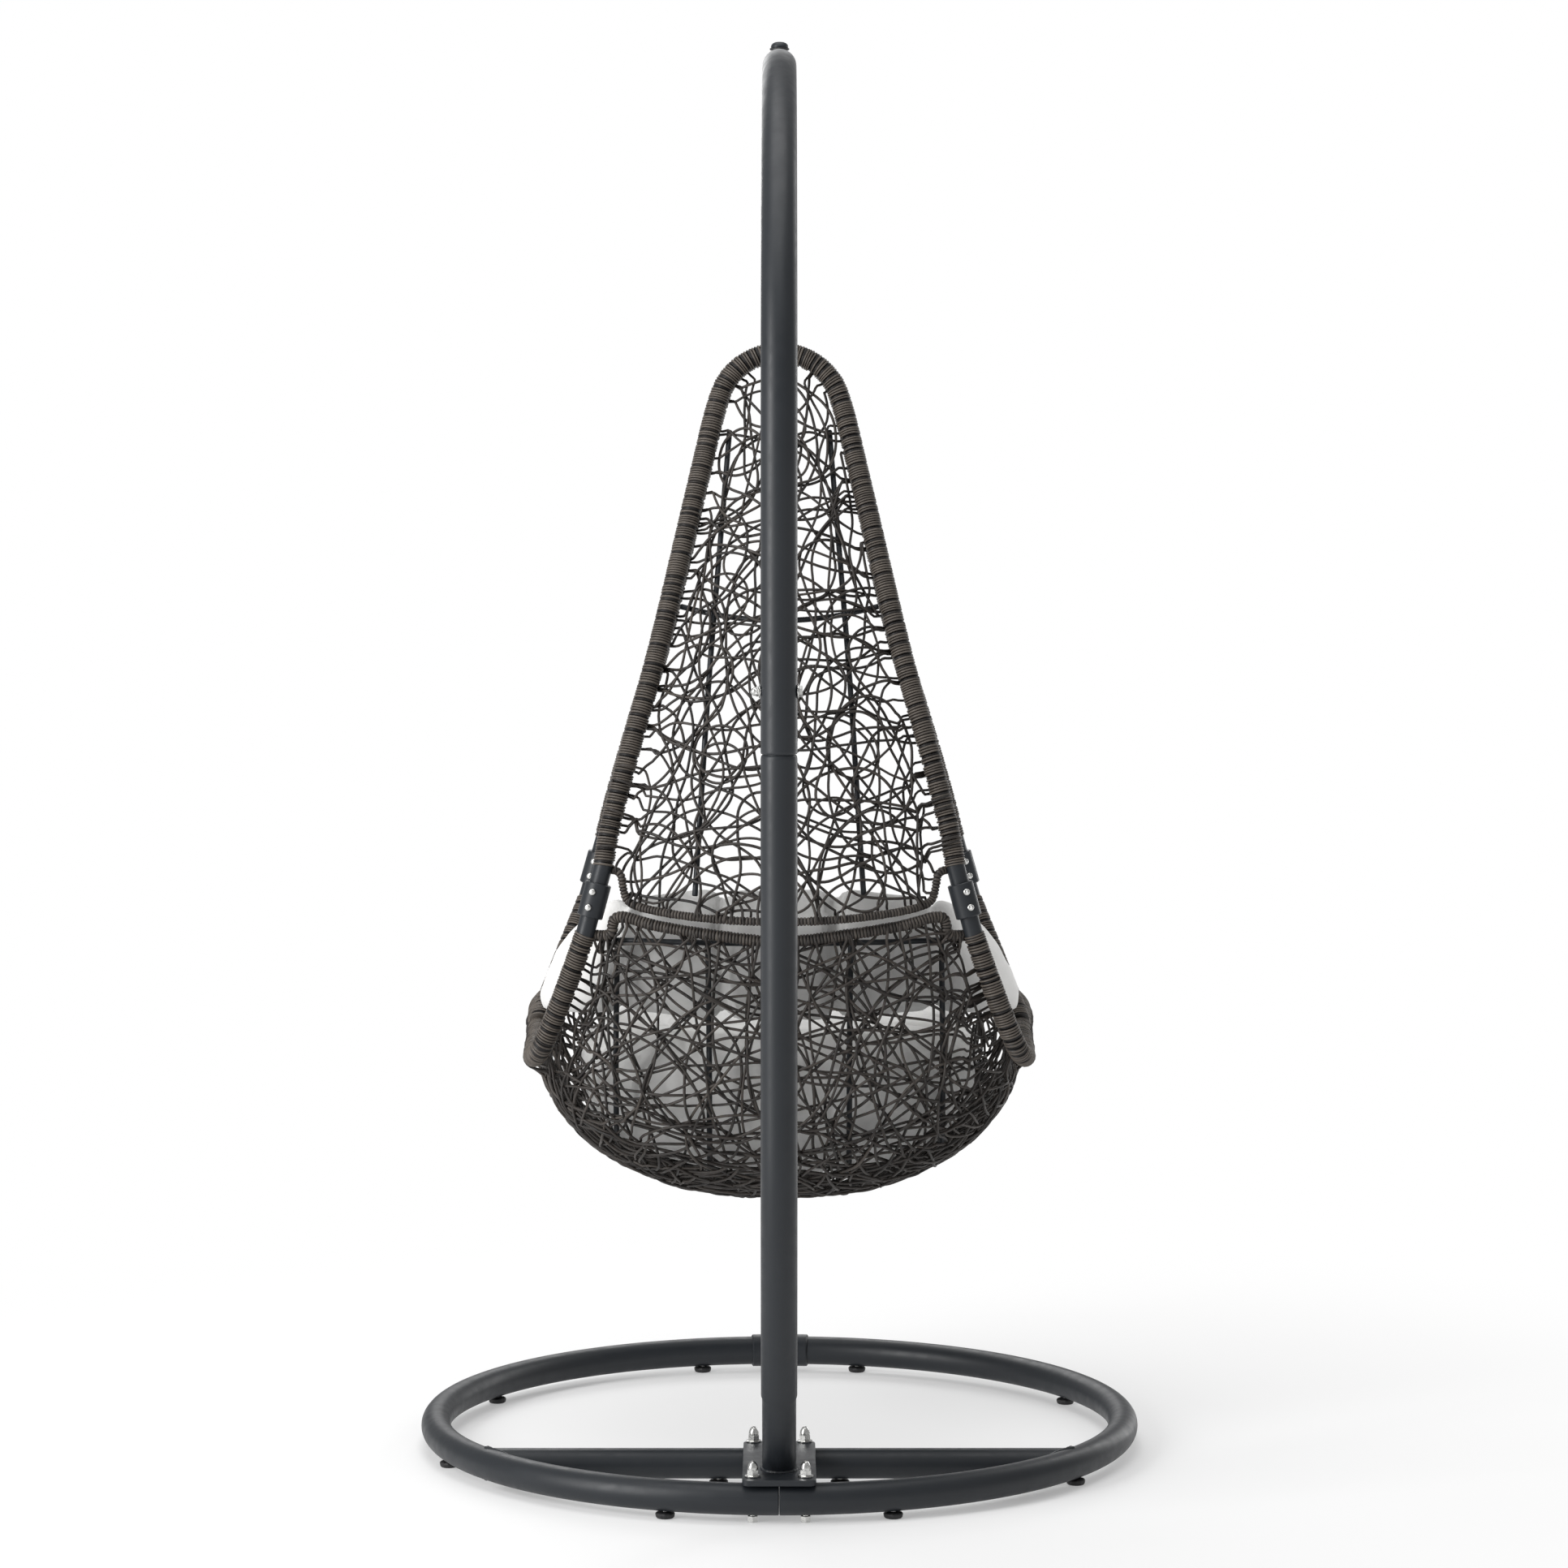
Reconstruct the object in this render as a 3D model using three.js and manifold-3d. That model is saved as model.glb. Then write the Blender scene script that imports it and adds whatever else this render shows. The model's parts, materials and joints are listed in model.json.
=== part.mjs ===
// A hanging egg chair on a ring stand. Millimetres, +Z up. The pole stands at +Y, so the chair faces -Y.
// Dimensions are given from a point on the ring's axis, FLOOR_Z below the floor. The last lines move
// the finished group so that its origin is on the floor at the centre of its footprint.
import * as THREE from "three";
import { mergeVertices } from "three/addons/utils/BufferGeometryUtils.js";
import { ParametricGeometry } from "three/addons/geometries/ParametricGeometry.js";
import Module from "manifold-3d";

const { clamp, degToRad, lerp, radToDeg, smoothstep } = THREE.MathUtils;
const wasm = await Module();
wasm.setup();

// Driving dimensions of the stand.
const GAP = 0.3; // clearance between pieces that touch
const FACET_TOLERANCE = 0.05; // how far merging flat facets may move a surface
const RING_RADIUS = 490; // ring centreline
const BASE_TUBE_RADIUS = 21;
const TUBE_WALL = 2;
const RING_Z = 36; // height of the base tubes' centreline
const RING_STEPS = 20; // straight facets in each half ring
const CROSS_TUBE_Y = 280; // the chord tube that crosses the ring
const FRONT_SLEEVE_LENGTH = 86;
const PLATE_SIZE = new THREE.Vector3(98, 237, 8);
const PLATE_Y = 392.5; // centre of the base plate
const BOLT_X = 35;
const BOLT_RADIUS = 5;
const POLE_RADIUS = 24;
const INSERT_RADIUS = 21.6; // swaged ends that slip into the pole's bore
const INSERT_LENGTH = 122;
const POLE_BORE_RADIUS = INSERT_RADIUS + GAP + 0.1;
const STUB_RADIUS = 22.6;
const STUB_TOP_Z = 178;
const POLE_LEAN = degToRad(30);
const POLE_Y = 600; // the pole's vertical run
const LOWER_BEND_RADIUS = 700;
const POLE_JOINT_Z = 1028;
const CROSS_BOLT_Z = 1110;
const CROSS_BOLT_RADIUS = 4;
const CROOK_RADIUS = 600;
const CROOK_TOP_Z = 1971; // centreline at the apex, over the ring's centre
const CROOK_OVERHANG = degToRad(25); // how far the crook runs past its apex
const FLOOR_Z = 6; // height of the feet's soles
const FOOT_RADIUS = 13;
const FOOT_TOP_Z = 14.5;
const STEM_RADIUS = 4;
const FOOT_ANGLES_LEFT = [14, 59, 110, 162]; // degrees from the front
const FOOT_ANGLES_RIGHT = [14, 60, 124, 162];
const FOOT_CROSS_X = 83;
const FOOTPRINT_CENTRE_Y = 55; // halfway between the ring's front and the pole's back

// Driving dimensions of the hanging hardware, as heights above the floor.
const WIRE_RADIUS = 4.5;
const EYE_Z = 1923; // centre of the eye
const EYE_RADIUS = 14;
const TOP_LINK_SPAN = [1857, 1922.5]; // wire centreline of the link, low and high
const HOUSING_SPAN = [1800, 1846];
const HOOK_EYE_Z = 1770;
const SPRING_SPAN = [1631, 1769];
const SPRING_RADIUS = 17;
const SPRING_WIRE = 3.4;
const SPRING_TURNS = 8;
const BOTTOM_LINK_SPAN = [1590, 1642];

// Driving dimensions of the chair.
const WRAP_RADIUS = 15; // frame tube with its wicker wrap
const BARE_RADIUS = 13; // the same tube with no wrap
const SLEEVE_RADIUS = 18;
const SLEEVE_LENGTH = 48;
const BARE_LENGTH = 48; // bare tube on each side of a joint
const APEX_Z = 1472; // centre of the hoops' top arc
const APEX_RADIUS = 90;
const HOOP_OFFSET_Y = 15.4; // each hoop's apex, behind or ahead of the hanging point
const WEAVE_THICKNESS = 8;
const BACK_BULGE = 86; // how far the woven back's lower edge stands behind its hoop
const BACK_SAG = 62; // how far that edge hangs below the end of the hoop's wrap
const RIB_RADIUS = 4;
const BOWL_BOTTOM = new THREE.Vector3(0, -52, 350);
const SEAT_CLEARANCE = 38; // from the bowl's outside to the seat cushion
const BOLSTER_Z = 722;

const point = (x, y, z) => new THREE.Vector3(x, y, z);
const mirrored = (p) => point(-p.x, p.y, p.z);
const UP = point(0, 0, 1);

// Centrelines on the +X side, from the top down. The hoops start where their top arc ends.
const REAR_HOOP = [
  point(117, 70, 1371),
  point(170, 150, 1143),
  point(208, 188, 1005),
  point(236, 209, 893),
];
const REAR_JOINT = point(256, 219, 801);
const REAR_LEG = [point(288, 217, 699), point(309, 212, 643)];
const REAR_CORNER = [point(330, 196, 594), point(342, 160, 577)];
const SEAT_RAIL = [
  point(344, 90, 579),
  point(345, 0, 590),
  point(352, -115, 599),
  point(352, -208, 605),
];
const FRONT_LIP = [
  point(332, -296, 611),
  point(256, -372, 616),
  point(130, -409, 619),
  point(0, -417, 620),
];
const FRONT_HOOP = [
  point(118, -62, 1371),
  point(172, -122, 1143),
  point(206, -154, 1036),
  point(243, -180, 910),
];
const FRONT_JOINT = point(271, -193, 806);
const FRONT_LEG = [
  point(290, -184, 745),
  point(313, -148, 688),
  point(333, -84, 636),
  point(343, -45, 611),
];

// Upper edge of the bowl, from the front round to the back, on the +X side.
const BOWL_EDGE = [
  point(0, -409, 600),
  point(130, -403, 599),
  point(250, -366, 595),
  point(323, -292, 589),
  point(345, -203, 583),
  point(345, -60, 571),
  point(340, 60, 560),
  point(329, 138, 557),
  point(304, 178, 572),
  point(284, 204, 632),
  point(264, 213, 700),
  point(243, 223, 764),
  point(214, 241, 779),
  point(110, 271, 766),
  point(0, 282, 757),
];

// The bowl's outline at the height where its sides turn in, on the +X side.
const SHOULDER_Z = 570;
const BOWL_OUTLINE = [
  point(0, -409, SHOULDER_Z),
  point(130, -403, SHOULDER_Z),
  point(250, -366, SHOULDER_Z),
  point(323, -292, SHOULDER_Z),
  point(346, -203, SHOULDER_Z),
  point(346, -60, SHOULDER_Z),
  point(340, 60, SHOULDER_Z),
  point(319, 150, SHOULDER_Z),
  point(264, 216, SHOULDER_Z),
  point(186, 250, SHOULDER_Z),
  point(94, 266, SHOULDER_Z),
  point(0, 270, SHOULDER_Z),
];
const BOWL_ROUNDNESS = 1.95; // 2 is an ellipse, and less is more pointed

// ---- Solids ----

function solidOf(geometry) {
  const bare = new THREE.BufferGeometry();
  bare.setAttribute("position", geometry.getAttribute("position"));
  bare.setIndex(geometry.index);
  const merged = mergeVertices(bare, 1e-3);
  return new wasm.Manifold(
    new wasm.Mesh({
      numProp: 3,
      vertProperties: merged.attributes.position.array,
      triVerts: new Uint32Array(merged.index.array),
    }),
  );
}

function geometryOf(solid) {
  const mesh = solid.simplify(FACET_TOLERANCE).getMesh();
  const geometry = new THREE.BufferGeometry();
  geometry.setAttribute("position", new THREE.BufferAttribute(mesh.vertProperties, 3));
  geometry.setIndex(new THREE.BufferAttribute(mesh.triVerts, 1));
  return geometry;
}

function joined(...geometries) {
  return geometryOf(geometries.map(solidOf).reduce((sum, next) => sum.add(next)));
}

function cutBy(geometry, ...tools) {
  return geometryOf(tools.map(solidOf).reduce((rest, tool) => rest.subtract(tool), solidOf(geometry)));
}

function circle(radius, sides) {
  const shape = new THREE.Shape();
  for (let i = 0; i < sides; i++) {
    const turn = (2 * Math.PI * (i + 0.5)) / sides;
    const corner = [radius * Math.cos(turn), radius * Math.sin(turn)];
    if (i === 0) shape.moveTo(...corner);
    else shape.lineTo(...corner);
  }
  shape.closePath();
  return shape;
}

// A round bar along a curve, or a tube when it is given a bore.
function sweep(curve, radius, steps, sides, bore = 0) {
  const shape = circle(radius, sides);
  if (bore > 0) shape.holes.push(circle(bore, Math.max(8, sides - 4)));
  return new THREE.ExtrudeGeometry(shape, { steps, extrudePath: curve, curveSegments: sides });
}

// The corner radius of a polygonal hole that clears a round bar.
function roomFor(radius, sides = 8) {
  return (radius + GAP) / Math.cos(Math.PI / sides);
}

// A bar with flat ends between two points.
function bar(from, to, radius, sides) {
  const geometry = new THREE.CylinderGeometry(radius, radius, from.distanceTo(to), sides);
  geometry.rotateX(Math.PI / 2);
  return alongAxis(geometry, from.clone().lerp(to, 0.5), to.clone().sub(from));
}

// Turns a geometry's +Z onto a direction and moves it to a point.
function alongAxis(geometry, at, direction) {
  const turn = new THREE.Quaternion().setFromUnitVectors(UP, direction.clone().normalize());
  geometry.applyQuaternion(turn);
  geometry.translate(at.x, at.y, at.z);
  return geometry;
}

// Turns a profile of [radius, height] pairs, listed from the low end to the high end, about +Z.
function turned(profile, sides) {
  const geometry = new THREE.LatheGeometry(
    profile.map(([radius, height]) => new THREE.Vector2(radius, height)),
    sides,
  );
  geometry.rotateX(Math.PI / 2);
  return geometry;
}

// A closed wire: a circle or an upright oval in the plane that `across` spans with +Z.
class Loop extends THREE.Curve {
  constructor(low, high, halfWidth, across) {
    super();
    this.middle = (low + high) / 2;
    this.reach = (high - low) / 2;
    this.halfWidth = halfWidth;
    this.across = across;
  }
  getPoint(t, target = new THREE.Vector3()) {
    const turn = 2 * Math.PI * t;
    target.copy(this.across).multiplyScalar(this.halfWidth * Math.sin(turn));
    target.z += this.middle + this.reach * Math.cos(turn);
    return target;
  }
}

// A wire ring, built from two half loops so that its ends close on each other.
function wireLoop(low, high, halfWidth, across, radius = WIRE_RADIUS) {
  const loop = new Loop(low, high, halfWidth, across);
  const half = (start) => {
    const piece = new THREE.Curve();
    piece.getPoint = (t) => loop.getPoint(start + 0.51 * t);
    return sweep(piece, radius, 6, 5);
  };
  return joined(half(0), half(0.5));
}

class Helix extends THREE.Curve {
  constructor(radius, low, high, turns) {
    super();
    Object.assign(this, { radius, low, high, turns });
  }
  getPoint(t, target = new THREE.Vector3()) {
    const turn = 2 * Math.PI * this.turns * t;
    const height = this.low + (this.high - this.low) * t;
    return target.set(this.radius * Math.cos(turn), this.radius * Math.sin(turn), height);
  }
}

// ---- Materials ----

const paint = { color: 0x3a3e43, roughness: 0.42, metalness: 0.35 };
const steel = { color: 0xc9cac8, roughness: 0.25, metalness: 1.0 };
const wicker = { color: 0x5c554c, roughness: 0.62, metalness: 0.0 };
const cloth = { color: 0xecebe8, roughness: 0.95, metalness: 0.0 };
const blackPlastic = { color: 0x17181a, roughness: 0.55, metalness: 0.0 };

function part(name, geometry, finish) {
  const mesh = new THREE.Mesh(geometry, new THREE.MeshStandardMaterial(finish));
  mesh.name = name;
  return mesh;
}

// ---- Stand ----

// The ring's centreline over an arc, measured in degrees from the front (-Y) towards +X.
function ringArc(fromDegrees, toDegrees, side = 1) {
  const arc = new THREE.Curve();
  arc.getPoint = (t) => {
    const turn = degToRad(fromDegrees + (toDegrees - fromDegrees) * t);
    return point(side * RING_RADIUS * Math.sin(turn), -RING_RADIUS * Math.cos(turn), RING_Z);
  };
  return arc;
}

const boltPlaces = [1, -1].flatMap((side) =>
  [Math.sqrt(RING_RADIUS ** 2 - BOLT_X ** 2), CROSS_TUBE_Y].map((y) => ({ x: side * BOLT_X, y })),
);

function footPlaces(side) {
  const angles = side > 0 ? FOOT_ANGLES_LEFT : FOOT_ANGLES_RIGHT;
  const onRing = angles.map((angle) => ringArc(angle, angle, side).getPoint(0));
  return [...onRing, point(side * FOOT_CROSS_X, CROSS_TUBE_Y, RING_Z)];
}

function sleeveScrewPlace(side) {
  const at = ringArc(2.4, 2.4, side).getPoint(0);
  const outward = point(0, Math.cos(0.6), -Math.sin(0.6)); // faces into the ring and a little down
  return { at, outward };
}

function upright(x, y, low, high, radius, sides = 8) {
  return bar(point(x, y, low), point(x, y, high), radius, sides);
}

function screwHole({ at, outward }, reach, radius) {
  return bar(at, at.clone().addScaledVector(outward, reach), radius, 8);
}

function baseHalf(side) {
  const seam = radToDeg(GAP / RING_RADIUS);
  const bore = BASE_TUBE_RADIUS - TUBE_WALL;
  const crossEnd = side * Math.sqrt(RING_RADIUS ** 2 - CROSS_TUBE_Y ** 2);
  const cross = (from, radius, sides) =>
    bar(point(side * from, CROSS_TUBE_Y, RING_Z), point(crossEnd, CROSS_TUBE_Y, RING_Z), radius, sides);
  const outside = joined(
    sweep(ringArc(seam, 180 - seam, side), BASE_TUBE_RADIUS, RING_STEPS, 10),
    cross(GAP, BASE_TUBE_RADIUS, 10),
  );
  const hollow = [sweep(ringArc(-1, 181, side), bore, RING_STEPS, 6), cross(-5, bore, 6)];
  const boltHoles = boltPlaces
    .filter((place) => place.x * side > 0)
    .map((place) => upright(place.x, place.y, 0, 80, roomFor(BOLT_RADIUS)));
  const stemRoom = roomFor(STEM_RADIUS, 6);
  const stemHoles = footPlaces(side).map((place) =>
    upright(place.x, place.y, 0, RING_Z, stemRoom, 6),
  );
  const screw = screwHole(sleeveScrewPlace(side), 60, roomFor(2.5));
  return cutBy(outside, ...hollow, ...boltHoles, ...stemHoles, screw);
}

function frontSleeve() {
  const half = radToDeg(FRONT_SLEEVE_LENGTH / 2 / RING_RADIUS);
  const step = 180 / RING_STEPS;
  const tube = sweep(ringArc(-half, half), BASE_TUBE_RADIUS + 3, 4, 10);
  const inside = sweep(ringArc(-step, step), BASE_TUBE_RADIUS + GAP, 2, 10);
  const holes = [1, -1].map((side) => screwHole(sleeveScrewPlace(side), 60, roomFor(2.5)));
  return cutBy(tube, inside, ...holes);
}

// A pan-head screw whose head's seat is at height 0, with its shank below.
function panScrew(headRadius, headHeight, shankRadius, shankLength) {
  const profile = [
    [0, -shankLength],
    [shankRadius, -shankLength],
    [shankRadius, 0],
    [headRadius, 0],
    [0.8 * headRadius, headHeight],
    [0, headHeight],
  ];
  return turned(profile, 7);
}

function sleeveScrew(side) {
  const { at, outward } = sleeveScrewPlace(side);
  const seat = at.clone().addScaledVector(outward, BASE_TUBE_RADIUS + 3 + GAP);
  return alongAxis(panScrew(5, 3.5, 2.5, 9), seat, outward);
}

const plateLow = RING_Z + BASE_TUBE_RADIUS + GAP;
const plateTop = plateLow + PLATE_SIZE.z;
const leanAxis = point(0, Math.sin(POLE_LEAN), Math.cos(POLE_LEAN));
const stubTop = point(0, POLE_Y - LOWER_BEND_RADIUS * (1 - Math.cos(POLE_LEAN)), STUB_TOP_Z);
const stubFoot = stubTop.clone().addScaledVector(leanAxis, (plateTop - STUB_TOP_Z) / leanAxis.z);

function poleBase() {
  const plate = new THREE.BoxGeometry(PLATE_SIZE.x, PLATE_SIZE.y, PLATE_SIZE.z);
  plate.translate(0, PLATE_Y, plateLow + PLATE_SIZE.z / 2);
  const buried = stubFoot.clone().addScaledVector(leanAxis, -4);
  const stub = bar(buried, stubTop, STUB_RADIUS, 14);
  const insertTop = stubTop.clone().addScaledVector(leanAxis, 60);
  const insert = bar(stubTop, insertTop, INSERT_RADIUS, 14);
  const rib = new THREE.Shape();
  rib.moveTo(stubFoot.y, plateTop - 2);
  rib.lineTo(stubFoot.y - 95, plateTop - 2);
  rib.lineTo(stubFoot.y - 95, plateTop + 6);
  rib.lineTo(stubFoot.y + 20, plateTop + 70);
  const gusset = new THREE.ExtrudeGeometry(rib, { depth: 6, bevelEnabled: false });
  gusset.rotateX(Math.PI / 2);
  gusset.rotateZ(Math.PI / 2);
  gusset.translate(-3, 0, 0);
  const bore = bar(
    buried.clone().addScaledVector(leanAxis, 8),
    insertTop.clone().addScaledVector(leanAxis, 5),
    INSERT_RADIUS - 3,
    8,
  );
  const holes = boltPlaces.map((place) => upright(place.x, place.y, 40, 80, roomFor(BOLT_RADIUS)));
  return cutBy(joined(plate, stub, insert, gusset), bore, ...holes);
}

// The pole's centreline from the base's stub, through the lower bend, to the joint with the crook.
function lowerPoleCurve() {
  const path = new THREE.CurvePath();
  const bendTop = STUB_TOP_Z + LOWER_BEND_RADIUS * Math.sin(POLE_LEAN);
  const bend = new THREE.Curve();
  bend.getPoint = (t) => {
    const turn = POLE_LEAN * (1 - t);
    const y = POLE_Y - LOWER_BEND_RADIUS * (1 - Math.cos(turn));
    return point(0, y, bendTop - LOWER_BEND_RADIUS * Math.sin(turn));
  };
  path.add(bend);
  path.add(new THREE.LineCurve3(point(0, POLE_Y, bendTop), point(0, POLE_Y, POLE_JOINT_Z)));
  return path;
}

const crookEndTurn = Math.PI / 2 + CROOK_OVERHANG;

function crookPoint(turn) {
  const y = CROOK_RADIUS * Math.cos(turn) + POLE_Y - CROOK_RADIUS;
  return point(0, y, CROOK_TOP_Z - CROOK_RADIUS + CROOK_RADIUS * Math.sin(turn));
}

function upperPoleCurve() {
  const path = new THREE.CurvePath();
  path.add(new THREE.LineCurve3(point(0, POLE_Y, POLE_JOINT_Z + 1), crookPoint(0)));
  const bend = new THREE.Curve();
  bend.getPoint = (t) => crookPoint(crookEndTurn * t);
  path.add(bend);
  return path;
}

function crossBoltHole() {
  const ends = [-60, 60].map((x) => point(x, POLE_Y, CROSS_BOLT_Z));
  return bar(...ends, roomFor(CROSS_BOLT_RADIUS), 8);
}

function lowerPole() {
  const tube = sweep(lowerPoleCurve(), POLE_RADIUS, 12, 12);
  const jointTop = point(0, POLE_Y, POLE_JOINT_Z + INSERT_LENGTH);
  const insert = bar(point(0, POLE_Y, POLE_JOINT_Z - 10), jointTop, INSERT_RADIUS, 12);
  const bore = sweep(lowerPoleCurve(), POLE_BORE_RADIUS, 12, 10);
  const insertBore = upright(0, POLE_Y, POLE_JOINT_Z - 30, jointTop.z + 50, INSERT_RADIUS - 2.4, 10);
  const lowerBoreStop = upright(0, POLE_Y, POLE_JOINT_Z - 20, POLE_JOINT_Z + 20, POLE_RADIUS + 2, 14);
  const openBore = geometryOf(solidOf(bore).subtract(solidOf(lowerBoreStop)));
  const stubClearance = bar(
    stubTop.clone().addScaledVector(leanAxis, -20),
    stubTop.clone().addScaledVector(leanAxis, 64),
    roomFor(INSERT_RADIUS, 14),
    14,
  );
  const footCut = bar(
    stubTop.clone().addScaledVector(leanAxis, -30),
    stubTop.clone().addScaledVector(leanAxis, GAP),
    60,
    8,
  );
  return cutBy(joined(tube, insert), openBore, insertBore, stubClearance, footCut, crossBoltHole());
}

function upperPole() {
  const tube = sweep(upperPoleCurve(), POLE_RADIUS, 20, 12, POLE_BORE_RADIUS);
  const eyeHole = upright(0, POLE_Y - CROOK_RADIUS, 1900, 2050, roomFor(BOLT_RADIUS));
  const roomTop = POLE_JOINT_Z + INSERT_LENGTH + 5;
  const insertRoom = upright(0, POLE_Y, POLE_JOINT_Z - 30, roomTop, roomFor(INSERT_RADIUS, 12), 12);
  return cutBy(tube, insertRoom, crossBoltHole(), eyeHole);
}

function poleEndCap() {
  const end = crookPoint(crookEndTurn);
  const outward = point(0, -Math.sin(crookEndTurn), Math.cos(crookEndTurn));
  const profile = [
    [0, -14],
    [18, -14],
    [18, GAP],
    [POLE_RADIUS - 1, GAP],
    [POLE_RADIUS - 1, 4],
    [15, 7],
    [0, 8],
  ];
  return alongAxis(turned(profile, 12), end, outward);
}

// A hexagon bolt: head, washer face and shank, with its seat at height 0 and its shank above.
function hexBolt(headRadius, headHeight, shankRadius, length) {
  const head = new THREE.CylinderGeometry(headRadius, headRadius, headHeight, 6);
  head.rotateX(Math.PI / 2);
  head.translate(0, 0, -headHeight / 2);
  return joined(head, bar(point(0, 0, -1), point(0, 0, length), shankRadius, 8));
}

// A dome nut on its washer, with its seat at height 0 and a blind hole for the bolt.
function domeNut(size, boltRadius, depth) {
  const washer = turned([[0, 0], [size * 1.3, 0], [size * 1.3, 2], [0, 2]], 8);
  const hex = new THREE.CylinderGeometry(size, size, 9, 6);
  hex.rotateX(Math.PI / 2);
  hex.translate(0, 0, 6);
  const dome = turned([[0, 9], [size * 0.86, 9], [size * 0.8, 15], [size * 0.45, 19.5], [0, 21]], 8);
  const hole = bar(point(0, 0, -5), point(0, 0, depth), roomFor(boltRadius), 8);
  return cutBy(joined(washer, hex, dome), hole);
}

function crossBolt() {
  const seat = POLE_RADIUS + GAP;
  const bolt = hexBolt(7.5, 6, CROSS_BOLT_RADIUS, 2 * seat + 5);
  return alongAxis(bolt, point(-seat, POLE_Y, CROSS_BOLT_Z), point(1, 0, 0));
}

function crossNut() {
  const nut = domeNut(6.5, CROSS_BOLT_RADIUS, 10);
  nut.scale(1, 1, 0.62);
  return alongAxis(nut, point(POLE_RADIUS + GAP, POLE_Y, CROSS_BOLT_Z), point(1, 0, 0));
}

function baseBolt({ x, y }) {
  const seat = RING_Z - BASE_TUBE_RADIUS - GAP;
  const bolt = hexBolt(7.5, 9, BOLT_RADIUS, plateTop + 10 - seat);
  return bolt.translate(x, y, seat);
}

function foot(place) {
  const profile = [
    [0, FLOOR_Z],
    [FOOT_RADIUS - 2, FLOOR_Z],
    [FOOT_RADIUS, FLOOR_Z + 5],
    [FOOT_RADIUS - 2, FOOT_TOP_Z],
    [STEM_RADIUS, FOOT_TOP_Z],
    [STEM_RADIUS, RING_Z - 3],
    [0, RING_Z - 3],
  ];
  return turned(profile, 8).translate(place.x, place.y, 0);
}

function stand() {
  const group = new THREE.Group();
  group.add(part("base_half_left", baseHalf(1), paint));
  group.add(part("base_half_right", baseHalf(-1), paint));
  group.add(part("front_joint_sleeve", frontSleeve(), paint));
  group.add(part("sleeve_screw_left", sleeveScrew(1), steel));
  group.add(part("sleeve_screw_right", sleeveScrew(-1), steel));
  group.add(part("pole_base", poleBase(), paint));
  group.add(part("pole_lower", lowerPole(), paint));
  group.add(part("pole_upper", upperPole(), paint));
  group.add(part("pole_end_cap", poleEndCap(), blackPlastic));
  group.add(part("pole_cross_bolt", crossBolt(), steel));
  group.add(part("pole_cross_nut", crossNut(), steel));
  boltPlaces.forEach((place, i) => {
    group.add(part(`base_bolt_${i + 1}`, baseBolt(place), steel));
    const nut = domeNut(8, BOLT_RADIUS, 12).translate(place.x, place.y, plateTop + GAP);
    group.add(part(`cap_nut_${i + 1}`, nut, steel));
  });
  [...footPlaces(1), ...footPlaces(-1)].forEach((place, i) => {
    group.add(part(`foot_${String(i + 1).padStart(2, "0")}`, foot(place), blackPlastic));
  });
  return group;
}

// ---- Hanging hardware ----

function eyeBolt() {
  const top = CROOK_TOP_Z + POLE_RADIUS + 8;
  const eye = wireLoop(EYE_Z - EYE_RADIUS, EYE_Z + EYE_RADIUS, EYE_RADIUS, point(1, 0, 0));
  const shank = upright(0, 0, EYE_Z + EYE_RADIUS, top, BOLT_RADIUS);
  const collar = upright(0, 0, EYE_Z + EYE_RADIUS - 1, CROOK_TOP_Z - POLE_RADIUS - 2, 8);
  return joined(eye, shank, collar);
}

function eyeWasher() {
  const low = CROOK_TOP_Z + POLE_RADIUS + GAP;
  const ring = turned([[0, low], [14, low], [14, low + 3], [0, low + 3]], 14);
  return cutBy(ring, upright(0, 0, low - 5, low + 9, roomFor(BOLT_RADIUS)));
}

function eyeCapNut() {
  const low = CROOK_TOP_Z + POLE_RADIUS + 3 + 2 * GAP;
  const dome = turned([[0, low], [12.5, low], [12, low + 4], [7, low + 7.6], [0, low + 8.6]], 14);
  return cutBy(dome, upright(0, 0, low - 5, low + 5.5, roomFor(BOLT_RADIUS)));
}

function swivelHousing() {
  const [low, high] = HOUSING_SPAN;
  const body = turned([[0, low], [17, low], [19, low + 5], [19, high - 12], [11, high], [0, high]], 14);
  const loop = wireLoop(high - 5, TOP_LINK_SPAN[0] + 14, 11, point(1, 0, 0));
  const axleRoom = upright(0, 0, low - 5, low + 12, roomFor(7), 8);
  const headRoom = upright(0, 0, low + 8, low + 20, roomFor(11, 12), 12);
  return cutBy(joined(body, loop), axleRoom, headRoom);
}

function swivelHook() {
  const low = HOUSING_SPAN[0];
  const head = upright(0, 0, low + 8 + GAP, low + 18, 11, 12);
  const axle = upright(0, 0, HOOK_EYE_Z + 11, low + 12, 7);
  const eye = wireLoop(HOOK_EYE_Z - 11, HOOK_EYE_Z + 13, 11, point(1, 0, 0));
  return joined(head, axle, eye);
}

// A coil with a loop at each end that hooks its neighbours.
function spring() {
  const [low, high] = SPRING_SPAN;
  const coilLow = low + 36;
  const coilHigh = high - 36;
  const steps = 7 * SPRING_TURNS;
  const coil = sweep(new Helix(SPRING_RADIUS, coilLow, coilHigh, SPRING_TURNS), SPRING_WIRE, steps, 4);
  const across = point(0, 1, 0);
  const ends = [
    wireLoop(coilHigh, high, 10, across, SPRING_WIRE),
    wireLoop(low, coilLow, 10, across, SPRING_WIRE),
  ];
  const bridges = [coilLow, coilHigh].map((z) =>
    bar(point(SPRING_RADIUS, 0, z), point(-4, 0, z), SPRING_WIRE, 6),
  );
  return joined(coil, ...ends, ...bridges);
}

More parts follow.
